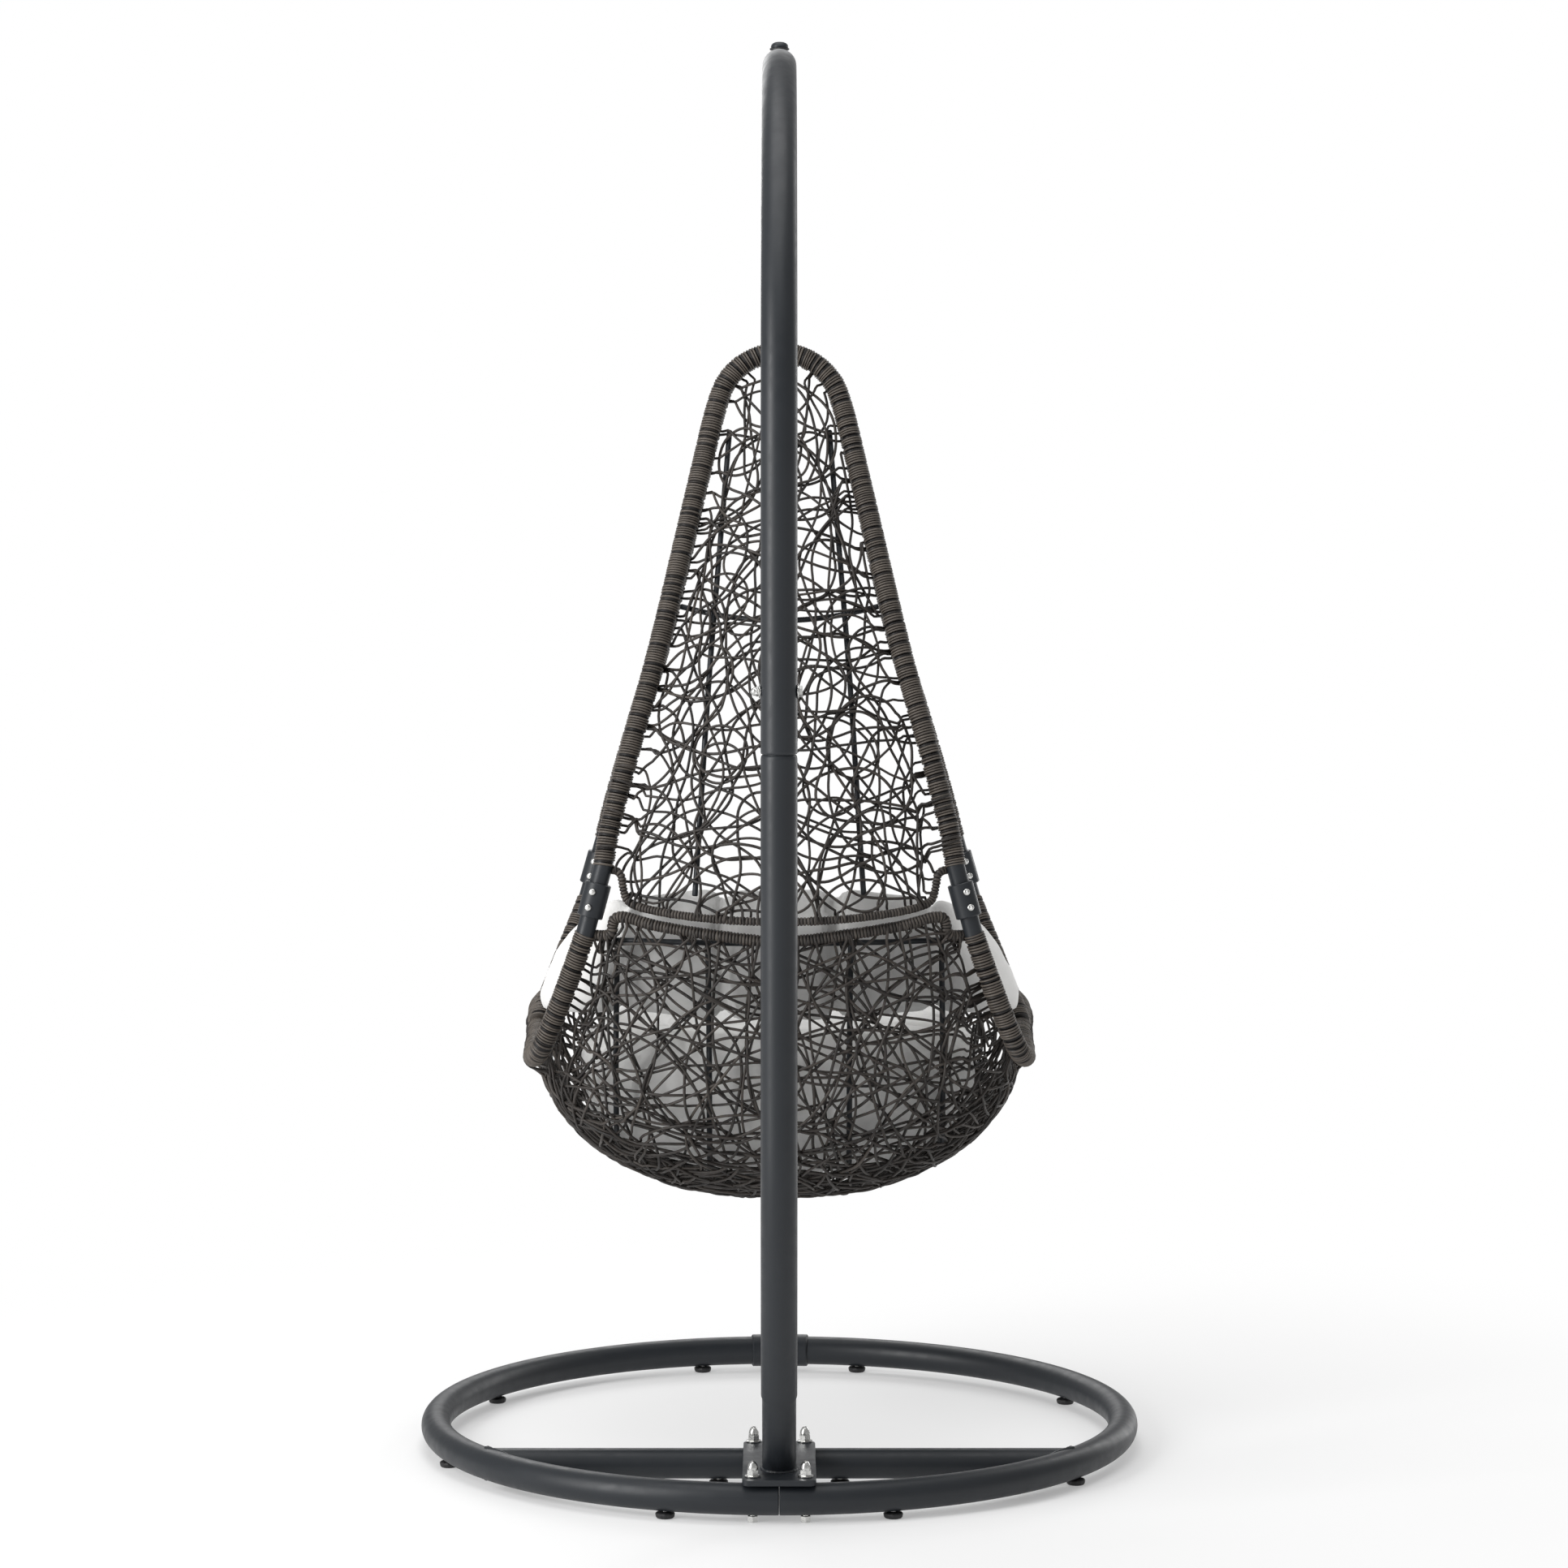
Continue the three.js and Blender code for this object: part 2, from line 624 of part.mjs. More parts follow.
function hardware() {
  const group = new THREE.Group();
  const across = point(0, 1, 0);
  group.add(part("eye_bolt", eyeBolt(), steel));
  group.add(part("eye_bolt_washer", eyeWasher(), blackPlastic));
  group.add(part("eye_bolt_cap_nut", eyeCapNut(), paint));
  group.add(part("top_link", wireLoop(...TOP_LINK_SPAN, 14.5, across), steel));
  group.add(part("swivel_housing", swivelHousing(), steel));
  group.add(part("swivel_hook", swivelHook(), steel));
  group.add(part("spring", spring(), steel));
  group.add(part("bottom_link", wireLoop(...BOTTOM_LINK_SPAN, 12, point(1, 0, 0)), steel));
  return group;
}

// ---- Chair frame ----

// The hoops' top arc, from the apex to where the arms leave it, leaning `depth` from front to back.
function apexArc(sign) {
  const last = 1.35;
  return [0, 0.25, 0.5, 0.75, 1].map((share) => {
    const turn = last * share;
    const y = sign * (HOOP_OFFSET_Y + 14 * share * share);
    return point(APEX_RADIUS * Math.sin(turn), y, APEX_Z + APEX_RADIUS * Math.cos(turn));
  });
}

// Points from the +X end over the apex to the -X end.
function overTheTop(half) {
  return [...half].reverse().concat(half.slice(1).map(mirrored));
}

function smooth(points) {
  return new THREE.CatmullRomCurve3(points, false, "centripetal");
}

const rearDown = REAR_LEG[0].clone().sub(REAR_HOOP.at(-1)).normalize();
const frontDown = FRONT_LEG[0].clone().sub(FRONT_HOOP.at(-1)).normalize();
const beside = (joint, down, distance) => joint.clone().addScaledVector(down, distance);

// The upper run of a hoop: wrapped to its joints, then bare to the joint's middle.
function hoopUpper(half, joint, down) {
  const wrapEnd = beside(joint, down, -BARE_LENGTH);
  const curve = smooth(overTheTop([...half, wrapEnd]));
  const ends = [1, -1].map((side) => {
    const flip = (p) => (side > 0 ? p : mirrored(p));
    const from = beside(joint, down, -BARE_LENGTH - 12);
    return bar(flip(from), flip(beside(joint, down, -GAP)), BARE_RADIUS, 10);
  });
  return joined(sweep(curve, WRAP_RADIUS, 34, 8), ...ends);
}

// Two screws that face the back through a joint's sleeve.
function jointScrews({ at: joint, down, side }) {
  const outward = point(side * 0.3, 1, 0).normalize();
  const axis = side > 0 ? down : mirrored(down);
  outward.addScaledVector(axis, -outward.dot(axis)).normalize();
  const middle = side > 0 ? joint : mirrored(joint);
  return [-11, 11].map((along) => ({
    at: middle.clone().addScaledVector(axis, along),
    outward,
  }));
}

const JOINTS = [
  { name: "rear_left", at: REAR_JOINT, down: rearDown, side: 1 },
  { name: "rear_right", at: REAR_JOINT, down: rearDown, side: -1 },
  { name: "front_left", at: FRONT_JOINT, down: frontDown, side: 1 },
  { name: "front_right", at: FRONT_JOINT, down: frontDown, side: -1 },
];
const frameScrews = JOINTS.flatMap(jointScrews);
const frameHoles = () => frameScrews.map((screw) => screwHole(screw, 40, roomFor(2.5)));

function rearHoop() {
  const hoop = hoopUpper([...apexArc(1), ...REAR_HOOP], REAR_JOINT, rearDown);
  const top = APEX_Z + APEX_RADIUS + WRAP_RADIUS;
  const lug = wireLoop(top - 4, BOTTOM_LINK_SPAN[0] + 15, 12, point(0, 1, 0), 5);
  const post = bar(point(0, 14, top - 6), point(0, 0, top + 2), 6, 8);
  return cutBy(joined(hoop, lug, post), ...frameHoles());
}

function frontHoop() {
  const hoop = hoopUpper([...apexArc(-1), ...FRONT_HOOP], FRONT_JOINT, frontDown);
  const top = APEX_Z + APEX_RADIUS + WRAP_RADIUS;
  const lugRoom = wireLoop(top - 5, BOTTOM_LINK_SPAN[0] + 15, 12, point(0, 1, 0), 5.6);
  return cutBy(hoop, lugRoom, ...frameHoles());
}

function lowerRim() {
  const wrapStart = beside(REAR_JOINT, rearDown, BARE_LENGTH);
  const half = [...FRONT_LIP.slice().reverse(), ...SEAT_RAIL.slice().reverse()];
  const back = [...REAR_CORNER.slice().reverse(), ...REAR_LEG.slice().reverse(), wrapStart];
  const curve = smooth(overTheTop([...half, ...back]));
  const stubs = [1, -1].map((side) => {
    const flip = (p) => (side > 0 ? p : mirrored(p));
    const from = beside(REAR_JOINT, rearDown, BARE_LENGTH + 12);
    return bar(flip(from), flip(beside(REAR_JOINT, rearDown, GAP)), BARE_RADIUS, 10);
  });
  return cutBy(joined(sweep(curve, WRAP_RADIUS, 48, 8), ...stubs), ...frameHoles());
}

const railCurve = smooth([REAR_CORNER[1], ...SEAT_RAIL]);

function frontLeg(side) {
  const flip = (p) => (side > 0 ? p.clone() : mirrored(p));
  const wrapStart = beside(FRONT_JOINT, frontDown, BARE_LENGTH);
  const curve = smooth([wrapStart, ...FRONT_LEG, point(346, -28, 592)].map(flip));
  const bare = bar(
    flip(beside(FRONT_JOINT, frontDown, GAP)),
    flip(beside(FRONT_JOINT, frontDown, BARE_LENGTH + 12)),
    BARE_RADIUS,
    10,
  );
  const railRoom = new THREE.CatmullRomCurve3(railCurve.getPoints(8).map(flip));
  const rail = sweep(railRoom, WRAP_RADIUS + 1, 16, 12);
  const leg = joined(sweep(curve, WRAP_RADIUS, 8, 8), bare);
  const clear = solidOf(cutBy(leg, rail, ...frameHoles())).decompose();
  return geometryOf(clear.reduce((a, b) => (a.volume() > b.volume() ? a : b)));
}

function jointSleeve({ at, down, side }) {
  const flip = (p) => (side > 0 ? p : mirrored(p));
  const ends = (length) => [-length, length].map((along) => flip(beside(at, down, along)));
  const outside = bar(...ends(SLEEVE_LENGTH / 2), SLEEVE_RADIUS, 12);
  const inside = bar(...ends(SLEEVE_LENGTH), roomFor(BARE_RADIUS, 10), 10);
  return cutBy(outside, inside, ...frameHoles());
}

function frameScrew({ at, outward }) {
  const seat = at.clone().addScaledVector(outward, SLEEVE_RADIUS + GAP);
  return alongAxis(panScrew(4.8, 3, 2.5, 10), seat, outward);
}

// ---- Woven back ----

const backHalf = smooth([...apexArc(1), ...REAR_HOOP, beside(REAR_JOINT, rearDown, -BARE_LENGTH)]);

// The inner edge of the rear hoop's arm, at a share of the way down.
function backEdge(share) {
  const at = backHalf.getPointAt(share);
  const along = backHalf.getTangentAt(share);
  const inset = WRAP_RADIUS + 1.8;
  const inward = point(along.z, 0, -along.x).normalize().multiplyScalar(inset);
  return at.add(inward);
}

// A point on the back's outside: across from -1 to 1, down from 0 at the apex to 1 at the lower edge.
function backPoint(across, down) {
  const edge = backEdge(down);
  const bulge = BACK_BULGE * Math.sin((Math.PI / 2) * down) ** 1.3;
  const sag = BACK_SAG * smoothstep(down, 0.6, 1) * (1 - Math.abs(across) ** 8);
  return point(across * Math.max(edge.x, 0), edge.y + bulge * (1 - across ** 2), edge.z - sag);
}

function backWeave() {
  const columns = 12;
  const shape = (u, v, target) => {
    const outer = u <= 0.5;
    const across = outer ? -1 + 4 * u : 3 - 4 * u;
    target.copy(backPoint(across, 0.03 + 0.97 * v));
    const thickness = WEAVE_THICKNESS * Math.min(1, 12 * v, 12 * (1 - v)) * (1 - across ** 8);
    if (!outer) target.y -= thickness;
  };
  return closedSurface(shape, 2 * columns, 14);
}

// A parametric surface as a solid with its faces turned outwards.
function closedSurface(shape, slices, stacks) {
  const geometry = new ParametricGeometry(shape, slices, stacks);
  let solid = solidOf(geometry);
  if (solid.volume() < 0) {
    const index = geometry.index.array;
    for (let i = 0; i < index.length; i += 3) {
      [index[i + 1], index[i + 2]] = [index[i + 2], index[i + 1]];
    }
    solid = solidOf(geometry);
  }
  return geometryOf(solid);
}

function backRibs() {
  const inset = WEAVE_THICKNESS + RIB_RADIUS + 1.8;
  const onBack = (x, down) => {
    const at = backPoint(x / backEdge(down).x, down);
    at.y -= inset;
    return at;
  };
  const backUpright = (side) => {
    const points = [0.2, 0.35, 0.5, 0.65, 0.8, 0.97].map((down) =>
      onBack(side * lerp(71, 116, (down - 0.2) / 0.77), down),
    );
    return sweep(smooth(points), RIB_RADIUS, 10, 5);
  };
  const crossDown = 0.53;
  const reach = backEdge(crossDown).x - RIB_RADIUS;
  const cross = [-1, -0.5, 0, 0.5, 1].map((across) => {
    const at = onBack(across * reach, crossDown);
    at.y = Math.max(at.y, backEdge(crossDown).y - 4);
    at.z -= 18 * (1 - across ** 2);
    return at;
  });
  return joined(backUpright(1), backUpright(-1), sweep(smooth(cross), RIB_RADIUS, 6, 5));
}

// ---- Woven bowl ----

// Samples a closed edge, given on its +X side, by direction from the bowl's axis.
function samplesAround(half) {
  const points = half.concat(half.slice(1, -1).reverse().map(mirrored));
  const loop = new THREE.CatmullRomCurve3(points, true, "centripetal");
  const samples = loop.getSpacedPoints(480).slice(0, -1);
  const polar = samples.map((p) => ({
    turn: Math.atan2(p.x, BOWL_BOTTOM.y - p.y),
    radius: Math.hypot(p.x, p.y - BOWL_BOTTOM.y),
    z: p.z,
  }));
  return polar.sort((a, b) => a.turn - b.turn);
}

const edgeSamples = samplesAround(BOWL_EDGE);
const outlineSamples = samplesAround(BOWL_OUTLINE);

// The sampled edge in a direction, as an angle from the front towards +X.
function edgeAt(samples, turn) {
  const count = samples.length;
  const high = Math.max(0, samples.findIndex((s) => s.turn > turn));
  const a = samples[(high - 1 + count) % count];
  const b = samples[high];
  const fullTurn = 2 * Math.PI;
  const span = (b.turn - a.turn + fullTurn) % fullTurn;
  const share = span > 0 ? ((turn - a.turn + fullTurn) % fullTurn) / span : 0;
  return { radius: lerp(a.radius, b.radius, share), z: lerp(a.z, b.z, share) };
}

// The bowl's radius in a direction at a height, `inset` in from its outside.
function bowlRadius(turn, z, inset) {
  const outline = edgeAt(outlineSamples, turn).radius;
  if (z < SHOULDER_Z) {
    const depth = Math.min(1, (SHOULDER_Z - z) / (SHOULDER_Z - BOWL_BOTTOM.z - inset));
    return (outline - inset) * (1 - depth ** BOWL_ROUNDNESS) ** (1 / BOWL_ROUNDNESS);
  }
  const rim = edgeAt(edgeSamples, turn);
  const rise = Math.min(1, (z - SHOULDER_Z) / Math.max(20, rim.z - SHOULDER_Z));
  return lerp(outline, rim.radius, rise ** 1.5) - inset;
}

function bowlAt(turn, z, inset) {
  const radius = bowlRadius(turn, z, inset);
  return point(radius * Math.sin(turn), BOWL_BOTTOM.y - radius * Math.cos(turn), z);
}

// A point on the bowl's outside, or `inset` inside it. Drop is 0 at the edge and 1 at the bottom.
function bowlPoint(turn, drop, inset = 0) {
  const top = edgeAt(edgeSamples, turn).z;
  const bottom = BOWL_BOTTOM.z + inset;
  return bowlAt(turn, top - (top - bottom) * Math.sin((drop * Math.PI) / 2) ** 1.1, inset);
}

function bowlWeave() {
  const shape = (u, v, target) => {
    const outer = v <= 0.5;
    const drop = outer ? 1 - 2 * v : 2 * v - 1;
    const turn = -Math.PI + 2 * Math.PI * (u % 1);
    target.copy(bowlPoint(turn, drop, outer ? 0 : WEAVE_THICKNESS));
  };
  return closedSurface(shape, 34, 14);
}

// The bowl's inside over a place on the floor, `inset` in from the outside.
function bowlFloor(x, y, inset) {
  const turn = Math.atan2(x, BOWL_BOTTOM.y - y);
  const outline = edgeAt(outlineSamples, turn).radius - inset;
  const share = Math.min(1, Math.hypot(x, y - BOWL_BOTTOM.y) / outline);
  const depth = (1 - share ** BOWL_ROUNDNESS) ** (1 / BOWL_ROUNDNESS);
  return point(x, y, SHOULDER_Z - (SHOULDER_Z - BOWL_BOTTOM.z - inset) * depth);
}

function bowlRibs() {
  const inset = WEAVE_THICKNESS + 2 * RIB_RADIUS + 8;
  const topZ = 748;
  const frontZ = 580;
  // A rib down the back wall, under the seat and up to the front rail, set further out the larger x is.
  const rib = (side, x) => {
    const backTurn = side * (Math.PI - Math.atan2(x, 320));
    const frontTurn = side * Math.atan2(x, 340);
    const wall = [topZ, 690, 630, SHOULDER_Z + 4].map((z) => bowlAt(backTurn, z, inset));
    const back = bowlAt(backTurn, SHOULDER_Z, inset);
    const front = bowlAt(frontTurn, SHOULDER_Z, inset);
    const floor = [0.04, 0.14, 0.28, 0.42, 0.56, 0.7, 0.84, 0.95].map((share) =>
      bowlFloor(lerp(back.x, front.x, share), lerp(back.y, front.y, share), inset),
    );
    return sweep(smooth([...wall, ...floor, bowlAt(frontTurn, frontZ, inset)]), RIB_RADIUS, 14, 5);
  };
  const topBar = [-1, -0.75, -0.5, -0.25, 0, 0.25, 0.5, 0.75, 1].map((across) => {
    const turn = Math.PI + 0.7 * across;
    return bowlAt(turn > Math.PI ? turn - 2 * Math.PI : turn, topZ - 3, inset);
  });
  const cross = sweep(smooth(topBar), RIB_RADIUS, 8, 5);
  return joined(cross, rib(1, 105), rib(-1, 105), rib(1, 275), rib(-1, 275));
}

// ---- Cushions ----

// The pad fills the bowl's floor up to its edge height, and its top is a little dished.
function seatCushion() {
  const edgeZ = 572;
  const bottom = BOWL_BOTTOM.z + SEAT_CLEARANCE;
  const shape = (u, v, target) => {
    const turn = -Math.PI + 2 * Math.PI * (u % 1);
    if (v <= 0.5) {
      const rise = 1 - Math.cos(Math.PI * v);
      target.copy(bowlAt(turn, bottom + (edgeZ - bottom) * rise, SEAT_CLEARANCE));
      return;
    }
    const share = 2 * (1 - v);
    target.copy(bowlAt(turn, edgeZ, SEAT_CLEARANCE)).lerp(BOWL_BOTTOM, 1 - share);
    target.z = edgeZ + 40 * (1 - share ** 8) - 22 * (1 - share ** 2);
  };
  return closedSurface(shape, 26, 12);
}

// The bolster's centreline round the sides and back.
const bolsterCurve = smooth(
  overTheTop(
    [
      point(0, 192, BOLSTER_Z),
      point(118, 182, BOLSTER_Z),
      point(208, 150, BOLSTER_Z - 4),
      point(266, 108, BOLSTER_Z - 16),
      point(290, 55, BOLSTER_Z - 26),
      point(277, -10, BOLSTER_Z - 38),
      point(246, -68, BOLSTER_Z - 48),
    ],
  ),
);

function bolsterCushion() {
  const shape = (u, v, target) => {
    const along = clamp(v, 0.0001, 0.9999);
    const at = bolsterCurve.getPointAt(along);
    const tangent = bolsterCurve.getTangentAt(along);
    const sideways = point(tangent.y, -tangent.x, 0).normalize();
    const taper = Math.sin(Math.PI * Math.min(0.5, 7 * Math.min(v, 1 - v))) ** 0.5;
    const turn = 2 * Math.PI * (u % 1);
    const away = Math.abs(2 * v - 1); // 0 at the back and 1 at either end
    const lean = 38 * smoothstep(away, 0.1, 0.5);
    const outwards = 45 * Math.cos(turn) - lean * Math.sin(turn);
    target.copy(at).addScaledVector(sideways, taper * outwards);
    target.z += 102 * (1 - 0.42 * away ** 1.5) * taper * Math.sin(turn);
  };
  return closedSurface(shape, 12, 22);
}

function chair() {
  const group = new THREE.Group();
  group.add(part("rear_hoop_upper", rearHoop(), wicker));
  group.add(part("front_hoop_upper", frontHoop(), wicker));
  group.add(part("lower_rim", lowerRim(), wicker));
  group.add(part("front_leg_left", frontLeg(1), wicker));
  group.add(part("front_leg_right", frontLeg(-1), wicker));
  JOINTS.forEach((joint, i) => {
    group.add(part(`joint_sleeve_${joint.name}`, jointSleeve(joint), paint));
    [1, 2].forEach((n) => {
      const screw = frameScrew(frameScrews[2 * i + n - 1]);
      group.add(part(`joint_screw_${joint.name}_${n}`, screw, steel));
    });
  });
  group.add(part("back_weave", backWeave(), wicker));
  group.add(part("back_rib_frame", backRibs(), paint));
  group.add(part("bowl_weave", bowlWeave(), wicker));
  group.add(part("bowl_rib_frame", bowlRibs(), paint));
  group.add(part("seat_cushion", seatCushion(), cloth));
  group.add(part("bolster_cushion", bolsterCushion(), cloth));
  return group;
}

const eggChair = new THREE.Group();
eggChair.add(stand());
eggChair.add(hardware());
eggChair.add(chair());
eggChair.position.set(0, -FOOTPRINT_CENTRE_Y, -FLOOR_Z);

export default eggChair;
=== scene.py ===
"""Looks for a hanging egg chair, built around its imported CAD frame.

Shapes are worked out in millimetres, in the coordinates the part is dimensioned in: +Z up, the pole
at +Y, and the origin under the hanging point. `place` turns them into the frame's metres.
"""

import json
import math
import bpy
import numpy as np
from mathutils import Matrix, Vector, kdtree


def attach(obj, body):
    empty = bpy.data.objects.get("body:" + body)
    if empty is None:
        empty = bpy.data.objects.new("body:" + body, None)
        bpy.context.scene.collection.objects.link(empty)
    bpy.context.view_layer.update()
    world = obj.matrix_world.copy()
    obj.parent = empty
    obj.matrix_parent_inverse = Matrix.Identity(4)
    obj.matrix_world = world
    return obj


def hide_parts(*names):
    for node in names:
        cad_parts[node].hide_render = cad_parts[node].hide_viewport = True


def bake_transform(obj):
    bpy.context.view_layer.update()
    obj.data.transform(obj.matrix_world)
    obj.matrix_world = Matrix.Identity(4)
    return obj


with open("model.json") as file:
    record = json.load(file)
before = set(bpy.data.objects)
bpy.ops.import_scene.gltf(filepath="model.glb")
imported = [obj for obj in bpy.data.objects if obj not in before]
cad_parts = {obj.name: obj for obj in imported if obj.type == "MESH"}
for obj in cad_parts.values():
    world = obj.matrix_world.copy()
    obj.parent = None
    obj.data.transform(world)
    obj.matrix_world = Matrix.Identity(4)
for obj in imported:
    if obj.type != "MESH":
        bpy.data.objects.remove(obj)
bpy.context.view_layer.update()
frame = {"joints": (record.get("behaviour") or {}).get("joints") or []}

JOINTS = {joint["name"]: joint for joint in frame["joints"]}
SWIVEL_Z = 1800.0  # height of the swivel in the part's own dimensions
HANG = np.array(JOINTS["turn"]["pos_m"]) - np.array([0, 0, SWIVEL_Z / 1000])
RNG = np.random.default_rng(7)

# ---- Dimensions, in millimetres ----

RING_RADIUS, BASE_TUBE_RADIUS, RING_Z = 490.0, 21.0, 36.0
CROSS_TUBE_Y = 280.0
PLATE_X, PLATE_Y_SIZE, PLATE_Y, PLATE_LOW, PLATE_TOP = 98.0, 237.0, 392.5, 57.3, 65.3
BOLT_X = 35.0
FLOOR_Z, FOOT_TOP_Z, FOOT_RADIUS = 6.0, 14.5, 13.0
FOOT_ANGLES = {1: (14, 59, 110, 162), -1: (14, 60, 124, 162)}
FOOT_CROSS_X = 83.0
POLE_RADIUS, STUB_RADIUS, INSERT_RADIUS = 24.0, 22.6, 21.6
POLE_Y, LOWER_BEND_RADIUS, POLE_LEAN, STUB_TOP_Z = 600.0, 700.0, math.radians(30), 178.0
POLE_JOINT_Z, CROSS_BOLT_Z, INSERT_TOP_Z = 1028.0, 1110.0, 1150.0
CROOK_RADIUS, CROOK_TOP_Z, CROOK_OVERHANG = 600.0, 1971.0, math.radians(25)

WRAP_RADIUS, BARE_RADIUS, BARE_LENGTH = 15.0, 13.0, 48.0
SLEEVE_RADIUS, SLEEVE_LENGTH = 18.0, 48.0
CORD_PITCH = 3.7
BOTTOM_LOOP_Z = 1605.0
APEX_Z, APEX_RADIUS, HOOP_OFFSET_Y = 1472.0, 90.0, 15.4
APEX_TURN = 1.35  # radians of the apex's arc on each side
WEAVE_THICKNESS, STRAND_RADIUS = 8.0, 1.95
WALK_STEP = 6.0  # between the points of a strand's random walk
BACK_STRAND_LENGTH, BOWL_STRAND_LENGTH = 41000.0, 165000.0
BAR_RADIUS = 6.6
# Half of each edge bar, from its end on the frame to the middle, as X and Z.
BACK_BAR = [
    (233, 842), (225, 841), (219, 836), (216, 820), (211, 803), (201, 796), (175, 790), (98, 782),
    (0, 779),
]
BOWL_BAR = [
    (262, 752), (248, 752), (237, 753), (231, 758), (230, 768), (226, 777), (214, 779), (175, 770),
    (98, 759), (0, 750),
]
BACK_BAR_Y = (213, 299)  # at its ends, and at its middle
BOWL_BAR_Y = (214, 278)
BAR_COIL = 4.6  # the pitch of the cord round an edge bar
RIB_RADIUS = 4.0

REAR_HOOP = [(117, 70, 1371), (170, 150, 1143), (208, 188, 1005), (236, 209, 893)]
REAR_JOINT = (256, 219, 801)
REAR_LEG = [(288, 217, 699), (309, 212, 643)]
REAR_CORNER = [(330, 196, 594), (342, 160, 577)]
SEAT_RAIL = [(344, 90, 579), (345, 0, 590), (352, -115, 599), (352, -208, 605)]
FRONT_LIP = [(332, -296, 611), (256, -372, 616), (130, -409, 619), (0, -417, 620)]
FRONT_HOOP = [(118, -62, 1371), (172, -122, 1143), (206, -154, 1036), (243, -180, 910)]
FRONT_JOINT = (271, -193, 806)
FRONT_LEG = [(290, -184, 745), (313, -148, 688), (333, -84, 636), (343, -45, 611)]
FRONT_LEG_FOOT = (345.5, -33, 602)

SHOULDER_Z = 570.0
BOWL_BOTTOM = np.array([0.0, -52.0, 350.0])
BOWL_ROUNDNESS = 1.95
BOWL_EDGE = [
    (0, -409, 600), (130, -403, 599), (250, -366, 595), (323, -292, 589), (345, -203, 583),
    (345, -60, 571), (340, 60, 560), (329, 138, 557), (304, 178, 572), (284, 204, 632),
    (266, 214, 700), (254, 220, 745), (231, 232, 757), (225, 236, 777), (175, 255, 770),
    (98, 273, 759), (0, 282, 750),
]
BOWL_OUTLINE = [
    (0, -409, 570), (130, -403, 570), (250, -366, 570), (323, -292, 570), (346, -203, 570),
    (346, -60, 570), (340, 60, 570), (319, 150, 570), (264, 216, 570), (186, 250, 570),
    (94, 266, 570), (0, 270, 570),
]
BACK_BULGE = 86.0
BACK_SAG = ([0, 0.128, 0.431, 0.77, 0.932, 0.963, 1], [64, 63, 61, 53, 42, 7, 0])  # across, and drop
SEAT_CLEARANCE, SEAT_EDGE_Z = 38.0, 572.0
BOLSTER_Z = 722.0
BOLSTER_LINE = [
    (0, 192, 0), (118, 182, 0), (208, 150, -4), (266, 108, -16), (290, 55, -26), (277, -10, -38),
    (246, -68, -48),
]


# ---- Curves ----


def unit(vectors):
    return vectors / np.maximum(np.linalg.norm(vectors, axis=-1, keepdims=True), 1e-12)


def mirrored(points):
    return np.asarray(points, float) * [-1, 1, 1]


def over_the_top(half):
    """Points from the +X end over the middle to the -X end."""
    half = np.asarray(half, float)
    return np.vstack([half[::-1], mirrored(half[1:])])


def smooth_curve(points, closed=False, per_span=24):
    """A centripetal Catmull-Rom curve through the points, as closely spaced samples."""
    p = np.asarray(points, float)
    if closed:
        padded = np.vstack([p[-1], p, p[0], p[1]])
    else:
        padded = np.vstack([2 * p[0] - p[1], p, 2 * p[-1] - p[-2]])
    t = np.arange(per_span)[:, None] / per_span
    samples = []
    for p0, p1, p2, p3 in zip(padded, padded[1:], padded[2:], padded[3:]):
        d0, d1, d2 = (np.linalg.norm(b - a) ** 0.5 for a, b in ((p0, p1), (p1, p2), (p2, p3)))
        m1 = ((p1 - p0) / d0 - (p2 - p0) / (d0 + d1) + (p2 - p1) / d1) * d1
        m2 = ((p2 - p1) / d1 - (p3 - p1) / (d1 + d2) + (p3 - p2) / d2) * d1
        samples.append(
            p1
            + m1 * t
            + (-3 * p1 + 3 * p2 - 2 * m1 - m2) * t**2
            + (2 * p1 - 2 * p2 + m1 + m2) * t**3
        )
    samples.append(padded[-2][None])
    return np.vstack(samples)


def distances(line):
    steps = np.linalg.norm(np.diff(line, axis=0), axis=1)
    return np.concatenate([[0], np.cumsum(steps)])


def along(line, where):
    """Points at distances along a polyline."""
    s = distances(line)
    return np.stack([np.interp(where, s, line[:, i]) for i in range(3)], axis=-1)


def spaced(line, step):
    """The polyline resampled at about an even step."""
    total = distances(line)[-1]
    return along(line, np.linspace(0, total, max(2, round(total / step) + 1)))


def tangents(path, closed=False):
    if closed:
        return unit(np.roll(path, -1, axis=0) - np.roll(path, 1, axis=0))
    return unit(np.gradient(path, axis=0))


def frames_toward(path, focus, closed=False):
    """Tangent, the direction nearest the focus, and the third axis, at each point of a path."""
    t = tangents(path, closed)
    n = np.asarray(focus, float) - path
    n = unit(n - t * (n * t).sum(1, keepdims=True))
    return t, n, np.cross(t, n)


def spokes_between(n, b, turn):
    """Unit spokes at the angles `turn` from n towards b, for each point of a path."""
    return n[:, None] * np.cos(turn)[None, :, None] + b[:, None] * np.sin(turn)[None, :, None]


def even_turn(count):
    return 2 * np.pi * np.arange(count) / count


